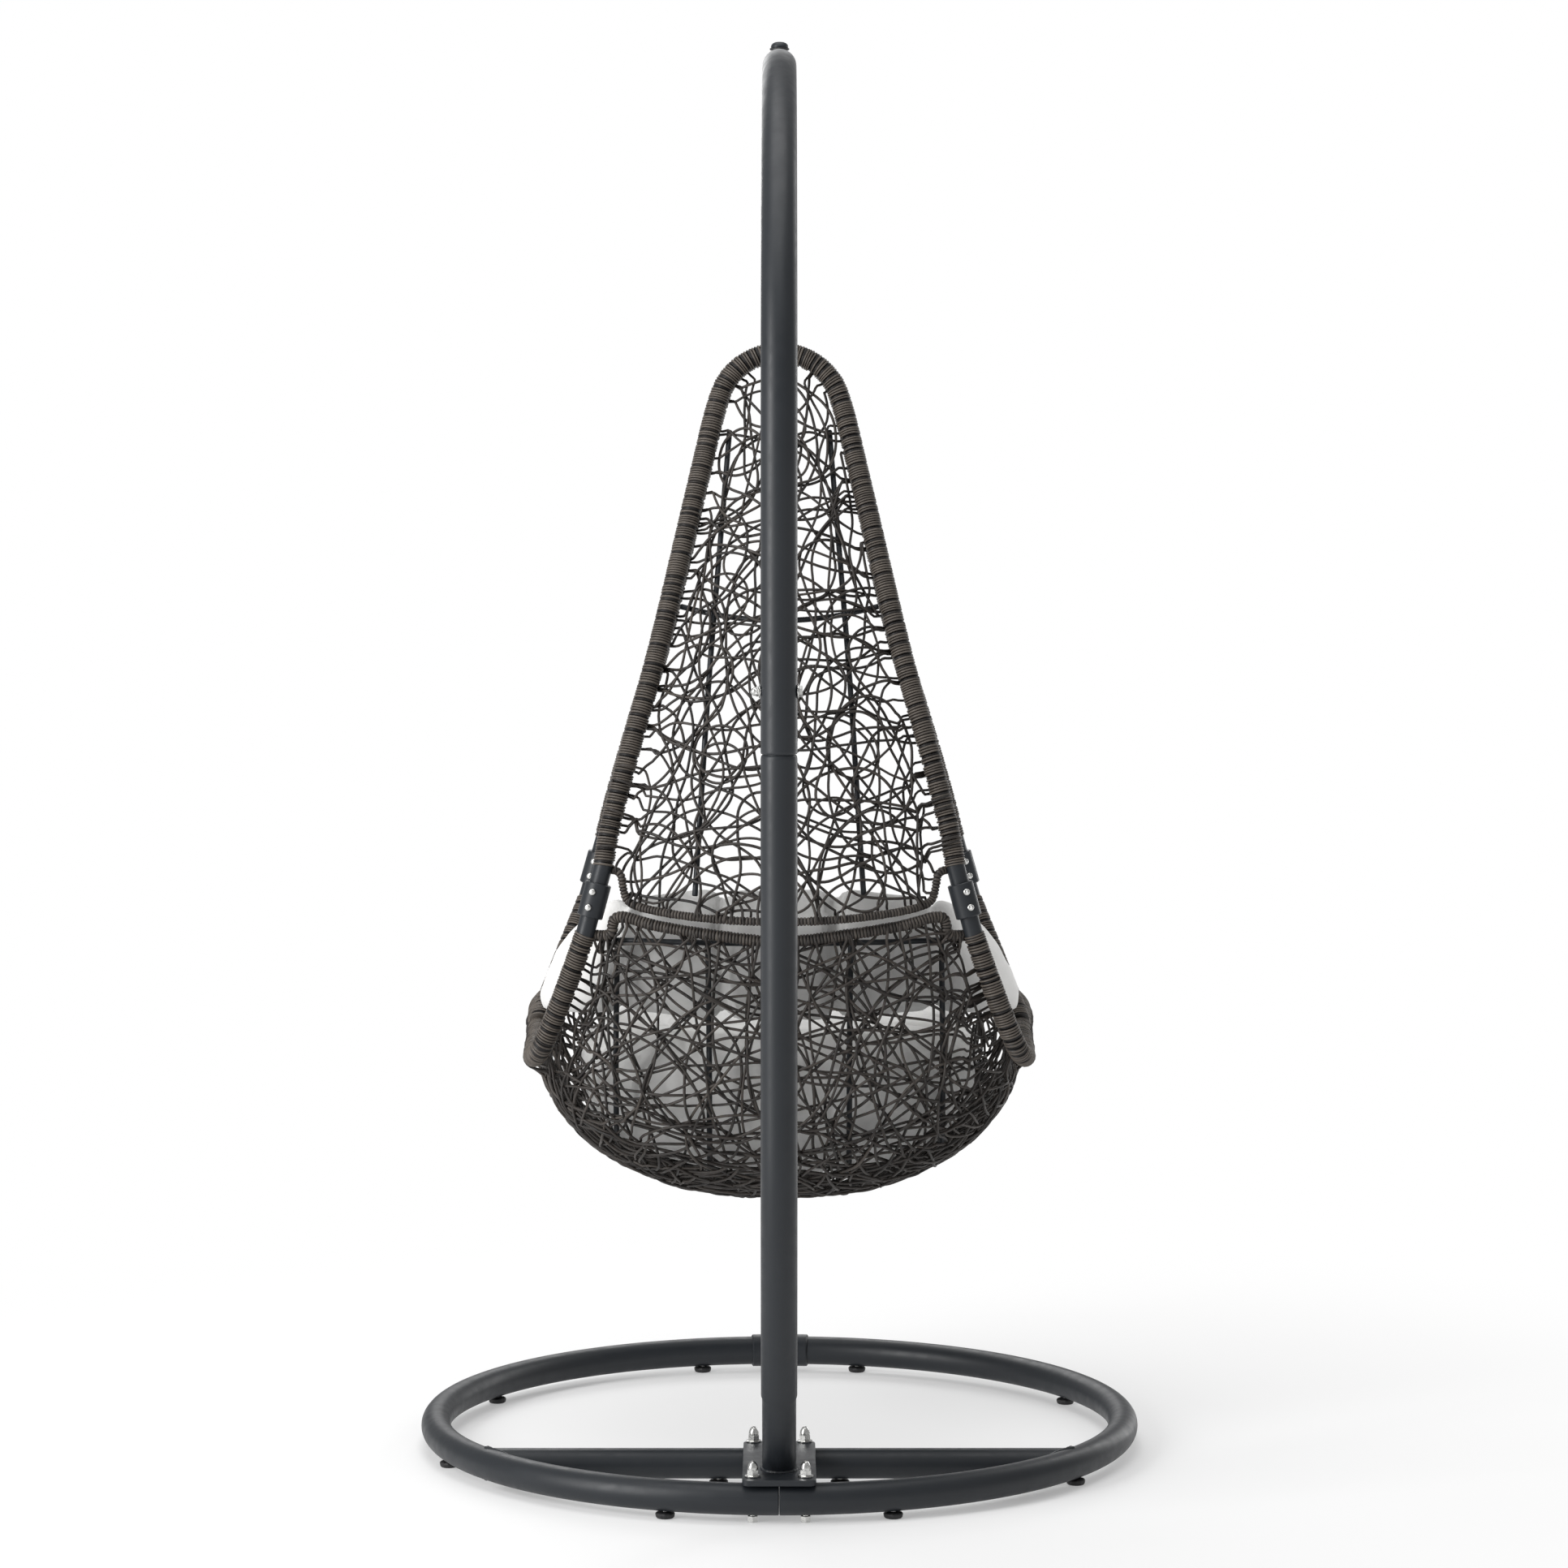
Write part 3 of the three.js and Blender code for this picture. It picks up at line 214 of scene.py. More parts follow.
def frames_along(paths):
    """Frames that turn as little as they can, for a batch of paths of the same length."""
    t = unit(np.gradient(paths, axis=1))
    n = np.empty_like(paths)
    helper = np.where(np.abs(t[:, 0, 2:]) < 0.9, [[0.0, 0, 1]], [[1.0, 0, 0]])
    n[:, 0] = unit(np.cross(t[:, 0], helper))
    for i in range(paths.shape[1] - 1):
        v1 = paths[:, i + 1] - paths[:, i]
        c1 = np.maximum((v1 * v1).sum(1, keepdims=True), 1e-12)
        left_n = n[:, i] - 2 / c1 * (v1 * n[:, i]).sum(1, keepdims=True) * v1
        left_t = t[:, i] - 2 / c1 * (v1 * t[:, i]).sum(1, keepdims=True) * v1
        v2 = t[:, i + 1] - left_t
        c2 = np.maximum((v2 * v2).sum(1, keepdims=True), 1e-12)
        n[:, i + 1] = unit(left_n - 2 / c2 * (v2 * left_n).sum(1, keepdims=True) * v2)
    return t, n, np.cross(t, n)


# ---- Meshes ----


def place(points):
    return np.asarray(points, float) / 1000 + HANG


def grid_faces(rows, sides, closed=False):
    """Quads between the rings of a swept tube."""
    i = np.arange(rows if closed else rows - 1)[:, None]
    j = np.arange(sides)[None, :]
    k = (j + 1) % sides
    below = (i + 1) % rows
    corners = [i * sides + j, below * sides + j, below * sides + k, i * sides + k]
    return np.stack(np.broadcast_arrays(*corners), axis=-1).reshape(-1, 4)


class Shape:
    """Collects closed shells in millimetres, then makes one object of them."""

    def __init__(self):
        self.points, self.corners, self.sizes, self.shades = [], [], [], []
        self.count = 0

    def add(self, points, *faces, shade=0.0):
        points = np.asarray(points, float).reshape(-1, 3)
        for block in faces:
            self.corners.append((np.asarray(block) + self.count).ravel())
            self.sizes.append(np.full(len(block), np.shape(block)[1]))
        self.points.append(points)
        self.shades.append(np.broadcast_to(np.asarray(shade, float), (len(points),)))
        self.count += len(points)

    def loft(self, rings, closed=False, shade=0.0):
        """A tube through rings of points, with its ends capped by fans."""
        rows, sides = rings.shape[:2]
        points = rings.reshape(-1, 3)
        faces = [grid_faces(rows, sides, closed)]
        shade = np.broadcast_to(np.asarray(shade, float), (rows, sides)).ravel()
        if not closed:
            ends = rings[[0, -1]].mean(axis=1)
            points = np.vstack([points, ends])
            shade = np.concatenate([shade, shade[[0, -1]]])
            j = np.arange(sides)
            k = (j + 1) % sides
            centre = rows * sides
            last = (rows - 1) * sides
            faces.append(np.stack([np.full(sides, centre), j, k], axis=1))
            faces.append(np.stack([np.full(sides, centre + 1), last + k, last + j], axis=1))
        self.add(points, *faces, shade=shade)

    def tube(self, path, radius, sides, focus=None, closed=False, bevel=0.0, shade=0.0):
        """A round bar along a path. With a bevel its ends are chamfered by that much."""
        path = np.asarray(path, float)
        radius = np.broadcast_to(np.asarray(radius, float), (len(path),))
        shade = np.broadcast_to(np.asarray(shade, float), (len(path),))
        if bevel:
            t = tangents(path)
            first, last = path[0] + bevel * t[0], path[-1] - bevel * t[-1]
            path = np.vstack([path[0], first, path[1:-1], last, path[-1]])
            radius = np.concatenate([[radius[0] - bevel], radius, [radius[-1] - bevel]])
            shade = np.concatenate([shade[:1], shade, shade[-1:]])
        if focus is None:
            if closed:
                doubled = np.vstack([path[-1], path, path[0]])[None]
                _, n, b = (f[0, 1:-1] for f in frames_along(doubled))
            else:
                _, n, b = (f[0] for f in frames_along(path[None]))
        else:
            _, n, b = frames_toward(path, focus, closed)
        rings = path[:, None] + spokes_between(n, b, even_turn(sides)) * radius[:, None, None]
        self.loft(rings, closed, shade[:, None])

    def turned(self, profile, sides, at=(0, 0, 0), direction=(0, 0, 1), shade=0.0, flutes=0.0):
        """A profile of (radius, height) pairs turned about an axis. Flutes ripple its widest rings."""
        t = unit(np.asarray(direction, float))
        n = unit(np.cross(t, [1.0, 0, 0] if abs(t[0]) < 0.9 else [0, 1.0, 0]))
        b = np.cross(t, n)
        turn = even_turn(sides)
        spokes = n * np.cos(turn)[:, None] + b * np.sin(turn)[:, None]
        widest = max(r for r, _ in profile)
        rings = []
        for r, h in profile:
            ripple = flutes * (r > 0.9 * widest) * np.cos(turn * sides / 4)[:, None]
            rings.append(np.asarray(at) + t * h + spokes * (max(r, 1e-3) + ripple))
        self.loft(np.array(rings), shade=shade)

    def slab(self, outline, low, high, bevel=1.0, shade=0.0):
        """A flat plate with chamfered edges from a convex outline in X and Y."""
        outline = np.asarray(outline, float)
        middle = outline.mean(axis=0)
        inner = outline - unit(outline - middle) * bevel
        rings = []
        levels = ((inner, low), (outline, low + bevel), (outline, high - bevel), (inner, high))
        for shape, z in levels:
            rings.append(np.column_stack([shape, np.full(len(shape), z)]))
        self.loft(np.array(rings), shade=shade)

    def make(self, name, body, finish, node=None, sharp=None):
        """The piece, riding on a body and standing for a CAD node; `sharp` is in degrees."""
        mesh = bpy.data.meshes.new(name)
        points = place(np.vstack(self.points))
        corners, sizes = np.concatenate(self.corners), np.concatenate(self.sizes)
        mesh.vertices.add(len(points))
        mesh.vertices.foreach_set("co", points.astype(np.float32).ravel())
        mesh.loops.add(len(corners))
        mesh.loops.foreach_set("vertex_index", corners.astype(np.int32))
        mesh.polygons.add(len(sizes))
        starts = np.concatenate([[0], np.cumsum(sizes)[:-1]])
        mesh.polygons.foreach_set("loop_start", starts.astype(np.int32))
        mesh.update(calc_edges=True)
        mesh.validate()
        mesh.shade_smooth()
        if sharp is not None:
            mesh.set_sharp_from_angle(angle=math.radians(sharp))
        shade = mesh.attributes.new("shade", "FLOAT", "POINT")
        shade.data.foreach_set("value", np.concatenate(self.shades).astype(np.float32))
        piece = bpy.data.objects.new(name, mesh)
        bpy.context.scene.collection.objects.link(piece)
        return finished(piece, body, finish, node)


def finished(piece, body, finish, node=None):
    material, slot = finish
    piece.data.materials.clear()
    piece.data.materials.append(material)
    if body is not None:
        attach(piece, body)
    if node is not None:
        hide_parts(node)
    return piece


# ---- Materials ----


SOCKETS = {
    "specular": "Specular IOR Level",
    "metallic": "Metallic",
    "sheen": "Sheen Weight",
    "sheen_roughness": "Sheen Roughness",
}


class Finish:
    """A node material, built up from texture nodes."""

    def __init__(self, name):
        self.material = bpy.data.materials.new(name)
        self.material.use_nodes = True
        self.tree = self.material.node_tree
        self.shader = self.tree.nodes["Principled BSDF"]
        self.where = self.add("TexCoord").outputs["Object"]

    def add(self, kind, inputs=(), **settings):
        node = self.tree.nodes.new("ShaderNode" + kind)
        for key, value in settings.items():
            setattr(node, key, value)
        for key, value in dict(inputs).items():
            self.feed(node.inputs[key], value)
        return node

    def feed(self, socket, value):
        if isinstance(value, bpy.types.NodeSocket):
            self.tree.links.new(value, socket)
        else:
            socket.default_value = value

    def noise(self, scale, detail=3.0, stretch=None):
        where = self.where
        if stretch is not None:
            where = self.add("Mapping", {"Vector": where, "Scale": stretch}).outputs["Vector"]
        return self.add("TexNoise", {"Vector": where, "Scale": scale, "Detail": detail}).outputs["Fac"]

    def ramp(self, value, *stops):
        node = self.add("ValToRGB", {"Fac": value})
        ramp = node.color_ramp
        while len(ramp.elements) < len(stops):
            ramp.elements.new(0.5)
        for element, (position, color) in zip(ramp.elements, stops):
            element.position = position
            element.color = (*color, 1) if len(color) == 3 else (color[0],) * 3 + (1,)
        return node.outputs["Color"]

    def sum(self, a, b, gain=1.0):
        return self.add("Math", {0: b, 1: gain, 2: a}, operation="MULTIPLY_ADD").outputs[0]

    def finish(self, color, roughness, bump=None, bump_distance=0.0003, bump_strength=0.5, **others):
        self.feed(self.shader.inputs["Base Color"], color)
        self.feed(self.shader.inputs["Roughness"], roughness)
        if bump is not None:
            inputs = {"Height": bump, "Distance": bump_distance, "Strength": bump_strength}
            self.feed(self.shader.inputs["Normal"], self.add("Bump", inputs).outputs["Normal"])
        for key, value in others.items():
            self.feed(self.shader.inputs[SOCKETS[key]], value)
        return self.material


def powder_coat():
    """Satin dark slate paint with the faint orange peel of a powder coat."""
    f = Finish("powder_coat")
    tone = f.ramp(f.noise(5, 4), (0.3, (0.011, 0.0135, 0.017)), (0.7, (0.015, 0.018, 0.022)))
    gloss = f.ramp(f.noise(60, 3), (0.3, (0.40,)), (0.7, (0.50,)))
    peel = f.sum(f.noise(420, 2), f.noise(1500, 2), 0.4)
    return f.finish(tone, gloss, peel, 0.0002, 0.35, specular=0.4)


def wicker():
    """Round plastic cane: grey brown, with fine streaks and a soft sheen."""
    f = Finish("wicker")
    # The shade attribute carries random tone together with painted shade in coil valleys, gaps and
    # strands, and painted light on coil crests.
    shade = f.add("Attribute", attribute_name="shade").outputs["Fac"]
    blotches = f.add("Math", {0: f.noise(90, 4), 1: 0.5}, operation="SUBTRACT").outputs[0]
    mottled = f.sum(shade, blotches, 0.5)
    level = f.add("Math", {0: mottled, 1: 0.5}, operation="ADD").outputs[0]
    tone = f.ramp(
        level,
        (0.0, (0.004, 0.003, 0.003)),
        (0.3, (0.013, 0.0105, 0.009)),
        (0.55, (0.032, 0.026, 0.022)),
        (1.0, (0.100, 0.085, 0.071)),
    )
    gloss = f.ramp(f.noise(300, 3), (0.3, (0.46,)), (0.7, (0.62,)))
    grain = f.sum(f.noise(900, 3), f.noise(2600, 2), 0.5)
    return f.finish(tone, gloss, grain, 0.0002, 0.5, specular=0.4)


def stainless():
    """Bright steel with a fine brushed grain."""
    f = Finish("stainless")
    tone = f.ramp(f.noise(120, 4), (0.3, (0.50, 0.50, 0.49)), (0.7, (0.66, 0.66, 0.64)))
    gloss = f.ramp(f.noise(260, 3, (1, 1, 12)), (0.3, (0.20,)), (0.7, (0.34,)))
    grain = f.noise(1400, 2, (1, 1, 9))
    return f.finish(tone, gloss, grain, 0.0001, 0.25, metallic=1.0)


def black_plastic():
    """Moulded black plastic with a fine spark texture."""
    f = Finish("black_plastic")
    tone = f.ramp(f.noise(40, 3), (0.3, (0.008, 0.008, 0.009)), (0.7, (0.014, 0.014, 0.015)))
    gloss = f.ramp(f.noise(200, 2), (0.3, (0.45,)), (0.7, (0.60,)))
    return f.finish(tone, gloss, f.noise(1800, 2), 0.0002, 0.6)


def cushion_fabric():
    """White woven cloth: two sets of fine threads over a slightly uneven ground."""
    f = Finish("cushion_fabric")
    tone = f.ramp(f.noise(14, 5), (0.3, (0.73, 0.725, 0.71)), (0.7, (0.84, 0.835, 0.82)))
    threads = []
    for direction in ("X", "Z"):
        wave = f.add(
            "TexWave",
            {
                "Vector": f.where,
                "Scale": 260.0,
                "Distortion": 1.2,
                "Detail": 2.0,
                "Detail Scale": 1.5,
            },
            wave_type="BANDS",
            bands_direction=direction,
        )
        threads.append(wave.outputs["Fac"])
    weave = f.sum(threads[0], threads[1], 1.0)
    soft = f.sum(weave, f.noise(700, 4), 1.6)
    return f.finish(tone, 0.92, soft, 0.0005, 0.55, sheen=0.35, sheen_roughness=0.5)


def floor_paint():
    """Matt white near the chair, and plain white light far off, so that no horizon shows."""
    f = Finish("floor_paint")
    tone = f.ramp(f.noise(2, 2), (0.0, (0.88, 0.88, 0.88)), (1.0, (0.91, 0.91, 0.91)))
    f.finish(tone, 0.7, f.noise(40, 3), 0.0002, 0.1)
    reach = f.add("VectorMath", {0: f.where}, operation="LENGTH").outputs["Value"]
    limits = {"Value": reach, "From Min": 0.7, "From Max": 1.8, "To Min": 0.3}
    far = f.add("MapRange", limits).outputs["Result"]
    glow = f.add("Emission", {"Color": (1, 1, 1, 1), "Strength": 1.0}).outputs["Emission"]
    blend = f.add("MixShader", {0: far, 1: f.shader.outputs["BSDF"], 2: glow}).outputs["Shader"]
    f.tree.links.new(blend, f.tree.nodes["Material Output"].inputs["Surface"])
    return f.material


# Each finish is a material with the record's slot that it belongs to.
PAINT, WICKER = (powder_coat(), "powder_coat"), (wicker(), "wicker")
STEEL, BLACK = (stainless(), "stainless"), (black_plastic(), "black_plastic")
CLOTH = (cushion_fabric(), "cushion_fabric")


# ---- Stand ----


def ring_point(degrees, side=1, radius=RING_RADIUS, z=RING_Z):
    turn = np.radians(degrees)
    zeros = np.zeros_like(turn * 1.0)
    return np.stack([side * radius * np.sin(turn), -radius * np.cos(turn), z + zeros], axis=-1)


def line(start, end, count=2):
    return np.linspace(np.asarray(start, float), np.asarray(end, float), count)


def weld_bead(shape, ring, size=2.4):
    """A rippled bead of weld along a closed line."""
    path = spaced(np.vstack([ring, ring[:1]]), 2.2)[:-1]
    ripple = 0.16 * np.sin(np.arange(len(path)) * 2.1) + 0.05 * RNG.standard_normal(len(path))
    swell = size * (1 + ripple)
    shape.tube(path, swell, 8, closed=True)


def base_half(side, name, node):
    shape = Shape()
    seam = math.degrees(0.3 / RING_RADIUS)
    arc = ring_point(np.linspace(seam, 180 - seam, 150), side)
    shape.tube(arc, BASE_TUBE_RADIUS, 40, focus=(0, 0, RING_Z), bevel=1.2)
    end_x = math.sqrt(RING_RADIUS**2 - CROSS_TUBE_Y**2)
    cross = line((side * 0.3, CROSS_TUBE_Y, RING_Z), (side * end_x, CROSS_TUBE_Y, RING_Z), 12)
    shape.tube(cross, BASE_TUBE_RADIUS - 0.4, 40, focus=(0, 0, RING_Z + 400), bevel=1.2)
    turn = np.linspace(0, 2 * np.pi, 64, endpoint=False)
    y = CROSS_TUBE_Y + BASE_TUBE_RADIUS * np.cos(turn)
    z = RING_Z + BASE_TUBE_RADIUS * np.sin(turn)
    reach = RING_RADIUS - np.sqrt(np.maximum(BASE_TUBE_RADIUS**2 - (z - RING_Z) ** 2, 0))
    x = side * np.sqrt(reach**2 - y**2)
    weld_bead(shape, np.column_stack([x, y, z]))
    shape.make(name, "stand", PAINT, node, sharp=40)


def front_sleeve():
    shape = Shape()
    half = math.degrees(43 / RING_RADIUS)
    arc = ring_point(np.linspace(-half, half, 24))
    shape.tube(arc, BASE_TUBE_RADIUS + 3, 40, focus=(0, 0, RING_Z), bevel=1.6)
    shape.make("ring_sleeve", "stand", PAINT, "front_joint_sleeve", sharp=40)


def pan_screw(shape, seat, outward, head_radius=4.8, head_height=3.0):
    """A pan head with a cross recess, on a short shank."""
    profile = [(0, -10), (2.5, -10), (2.5, 0), (head_radius, 0), (head_radius, 0.9)]
    profile += [(0.93 * head_radius, 1.9), (0.75 * head_radius, 2.6), (0.5 * head_radius, head_height)]
    shape.turned(profile + [(0, head_height + 0.1)], 28, seat, outward)
    t = unit(np.asarray(outward, float))
    n = unit(np.cross(t, [0, 0, 1.0]))
    b = np.cross(t, n)
    for arm in (n, b):
        ends = [np.asarray(seat) + t * (head_height + 0.06) + sign * 2.3 * arm for sign in (-1, 1)]
        shape.tube(line(*ends, 3), 0.55, 6, shade=-1.0)


def sleeve_screws():
    for side, name in ((1, "left"), (-1, "right")):
        at = ring_point(2.4, side)
        outward = np.array([0, math.cos(0.6), -math.sin(0.6)])
        shape = Shape()
        pan_screw(shape, at + outward * (BASE_TUBE_RADIUS + 3.3), outward, 5.0, 3.4)
        shape.make(f"ring_screw_{name}", "stand", STEEL, f"sleeve_screw_{name}", sharp=35)


LEAN_AXIS = np.array([0, math.sin(POLE_LEAN), math.cos(POLE_LEAN)])
STUB_TOP = np.array([0, POLE_Y - LOWER_BEND_RADIUS * (1 - math.cos(POLE_LEAN)), STUB_TOP_Z])
STUB_FOOT = STUB_TOP + LEAN_AXIS * (PLATE_TOP - STUB_TOP_Z) / LEAN_AXIS[2]


def rounded_rectangle(width, depth, centre_y, corner, steps=6):
    points = []
    for k, (sx, sy) in enumerate(((1, 1), (-1, 1), (-1, -1), (1, -1))):
        for turn in np.linspace(k * np.pi / 2, (k + 1) * np.pi / 2, steps):
            x = sx * (width / 2 - corner) + corner * math.cos(turn)
            y = centre_y + sy * (depth / 2 - corner) + corner * math.sin(turn)
            points.append((x, y))
    return points


def pole_base():
    shape = Shape()
    shape.slab(rounded_rectangle(PLATE_X, PLATE_Y_SIZE, PLATE_Y, 9), PLATE_LOW, PLATE_TOP, 1.0)
    insert_top = STUB_TOP + LEAN_AXIS * 60
    stub = line(STUB_FOOT - LEAN_AXIS * 4, STUB_TOP, 8)
    shape.tube(stub, STUB_RADIUS, 40, focus=(0, 0, 900), bevel=0.8)
    insert = line(STUB_TOP - LEAN_AXIS * 4, insert_top, 4)
    shape.tube(insert, INSERT_RADIUS, 36, focus=(0, 0, 900))
    turn = np.linspace(0, 2 * np.pi, 60, endpoint=False)
    x, y = STUB_RADIUS * np.cos(turn), STUB_RADIUS / LEAN_AXIS[2] * np.sin(turn)
    weld_bead(shape, np.column_stack([x, STUB_FOOT[1] + y, np.full_like(x, PLATE_TOP + 0.4)]), 2.8)
    low, back = PLATE_TOP - 2, STUB_FOOT[1]
    gusset = [(back - 95, low), (back - 95, PLATE_TOP + 6), (back + 20, PLATE_TOP + 70), (back, low)]
    sides = [np.array([(x, y, z) for y, z in gusset]) for x in (-3, -2.4, 2.4, 3)]
    middle = sides[0].mean(axis=0) * [0, 1, 1]
    for k in (0, 3):
        sides[k][:, 1:] += unit(middle[1:] - sides[k][:, 1:]) * 0.6
    shape.loft(np.array(sides))
    shape.make("pole_foot_plate", "stand", PAINT, "pole_base", sharp=38)


def lower_pole_path():
    bend_top = STUB_TOP_Z + LOWER_BEND_RADIUS * math.sin(POLE_LEAN)
    turn = np.linspace(POLE_LEAN, 0, 40)
    y = POLE_Y - LOWER_BEND_RADIUS * (1 - np.cos(turn))
    bend = np.column_stack([0 * y, y, bend_top - LOWER_BEND_RADIUS * np.sin(turn)])
    straight = line((0, POLE_Y, bend_top), (0, POLE_Y, POLE_JOINT_Z - 7), 20)[1:]
    return np.vstack([bend, straight])


def poles():
    lower = Shape()
    path = lower_pole_path()
    neck = [(0, POLE_Y, POLE_JOINT_Z - dz) for dz in (5, 3, 1.5, 0.6, 0)]
    radius = np.concatenate([np.full(len(path), POLE_RADIUS), [23.9, 23.6, 23.1, 22.5, 21.8]])
    lower.tube(np.vstack([path, neck]), radius, 48, focus=(0, 0, 1400))
    insert = line((0, POLE_Y, POLE_JOINT_Z - 10), (0, POLE_Y, INSERT_TOP_Z), 3)
    lower.tube(insert, INSERT_RADIUS, 40, focus=(0, 0, 1400))
    lower.make("pole_lower_tube", "stand", PAINT, "pole_lower", sharp=50)
    upper = Shape()
    end_turn = np.pi / 2 + CROOK_OVERHANG
    turn = np.linspace(0, end_turn, 110)
    y = POLE_Y - CROOK_RADIUS + CROOK_RADIUS * np.cos(turn)
    z = CROOK_TOP_Z - CROOK_RADIUS + CROOK_RADIUS * np.sin(turn)
    crook = np.column_stack([0 * turn, y, z])
    rim = [(0, POLE_Y, POLE_JOINT_Z + dz) for dz in (1, 1.3, 2.0, 3.5)]
    straight = line((0, POLE_Y, POLE_JOINT_Z + 6), crook[0], 16)[:-1]
    path = np.vstack([rim, straight, crook])
    radius = np.concatenate([[22.4, 23.3, 23.8, POLE_RADIUS], np.full(len(path) - 4, POLE_RADIUS)])
    upper.tube(path, radius, 48, focus=(0, -200, 1300))
    upper.make("pole_upper_tube", "stand", PAINT, "pole_upper", sharp=50)
    cap = Shape()
    outward = (0, -math.sin(end_turn), math.cos(end_turn))
    profile = [(0, -14), (18, -14), (18, 0.3), (23, 0.3), (23.2, 2), (22.6, 4), (19, 6.2)]
    profile += [(12, 7.4), (0, 8)]
    cap.turned(profile, 48, crook[-1], outward)
    cap.make("pole_end_plug", "stand", BLACK, "pole_end_cap", sharp=50)


def hexagon(shape, at, direction, radius, low, high):
    """A six-sided head with its corners chamfered at both faces."""
    flat = 0.9 * radius
    profile = [(0, low), (flat, low), (radius, low + 0.8), (radius, high - 0.8), (flat, high), (0, high)]
    shape.turned(profile, 6, at, direction)


def dome_nut(shape, at, direction, size, height=21.0):
    washer = [(0, 0), (1.28, 0), (1.3, 0.4), (1.3, 1.7), (1.24, 2), (0, 2)]
    shape.turned([(size * r, h) for r, h in washer], 40, at, direction)
    hexagon(shape, at, direction, size * 1.02, 2.0, 0.47 * height)
    k = height / 21  # the dome's heights below are those of a nut 21 mm tall
    dome = [(0, 8), (0.86, 8), (0.87, 11), (0.84, 13.5), (0.74, 16)]
    dome += [(0.58, 18.3), (0.36, 20.2), (0.15, 20.9), (0, 21)]
    shape.turned([(size * r, h * k) for r, h in dome], 36, at, direction)


BOLT_PLACES = [
    (side * BOLT_X, y)
    for side in (1, -1)
    for y in (math.sqrt(RING_RADIUS**2 - BOLT_X**2), CROSS_TUBE_Y)
]


def threaded(shape, at, direction, radius, low, high, pitch=1.25):
    count = max(2, int((high - low) / (pitch / 2)))
    heights = np.linspace(low, high, count)
    profile = [(0, low)] + [(radius - 0.35 * (i % 2), h) for i, h in enumerate(heights)] + [(0, high)]
    shape.turned(profile, 20, at, direction)


def base_fasteners():
    seat = RING_Z - BASE_TUBE_RADIUS - 0.3
    for i, (x, y) in enumerate(BOLT_PLACES, 1):
        bolt = Shape()
        hexagon(bolt, (x, y, seat), (0, 0, -1), 7.5, 0, 8.5)
        bolt.turned([(0, 0), (4.9, 0), (4.9, 60), (0, 60)], 20, (x, y, seat))
        bolt.make(f"plate_bolt_{i}", "stand", STEEL, f"base_bolt_{i}", sharp=35)
        nut = Shape()
        dome_nut(nut, (x, y, PLATE_TOP + 0.3), (0, 0, 1), 8.0)
        nut.make(f"plate_cap_nut_{i}", "stand", STEEL, f"cap_nut_{i}", sharp=35)
    face = POLE_RADIUS + 0.3
    bolt = Shape()
    head = (-face, POLE_Y, CROSS_BOLT_Z)
    bolt.turned([(0, 0), (9.5, 0), (9.5, 1.4), (0, 1.4)], 36, head, (-1, 0, 0))
    hexagon(bolt, head, (-1, 0, 0), 7.5, 1.2, 6.2)
    reach = 2 * face + 5
    bolt.turned([(0, 0), (4, 0), (4, reach), (0, reach)], 20, head, (1, 0, 0))
    bolt.make("pole_bolt", "stand", STEEL, "pole_cross_bolt", sharp=35)
    nut = Shape()
    dome_nut(nut, (face, POLE_Y, CROSS_BOLT_Z), (1, 0, 0), 6.5, 13.0)
    nut.make("pole_bolt_nut", "stand", STEEL, "pole_cross_nut", sharp=35)


def feet():
    number = 0
    for side in (1, -1):
        places = [ring_point(angle, side) for angle in FOOT_ANGLES[side]]
        places.append(np.array([side * FOOT_CROSS_X, CROSS_TUBE_Y, RING_Z]))
        for at in places:
            number += 1
            body = f"levelling_foot_{number:02d}"
            at = at * [1, 1, 0]
            foot = Shape()
            low, top, r = FLOOR_Z, FOOT_TOP_Z, FOOT_RADIUS
            profile = [(0, low), (r - 2.4, low), (r - 1.2, low + 0.8), (r - 0.4, low + 4)]
            profile += [(r - 0.3, top - 2.2), (r - 1.6, top - 0.9), (8, top - 0.6), (7, top), (0, top)]
            foot.turned(profile, 48, at, flutes=0.35)
            foot.make(f"foot_pad_{number:02d}", body, BLACK, f"foot_{number:02d}", sharp=45)
            stem = Shape()
            threaded(stem, at, (0, 0, 1), 3.9, top - 1, RING_Z - 3)
            stem.make(f"foot_stem_{number:02d}", body, STEEL)


base_half(1, "base_ring_left", "base_half_left")
base_half(-1, "base_ring_right", "base_half_right")
front_sleeve()
sleeve_screws()
pole_base()
poles()
base_fasteners()
feet()


# ---- Hanging hardware ----


def oval(low, high, half_width, across, count=44):
    """A closed wire loop that stands in the plane of `across` and +Z."""
    turn = np.linspace(0, 2 * np.pi, count, endpoint=False)
    points = np.outer(half_width * np.sin(turn), across)
    points[:, 2] += (low + high) / 2 + (high - low) / 2 * np.cos(turn)
    return points


X, Y = np.array([1.0, 0, 0]), np.array([0, 1.0, 0])
WIRE = 4.4


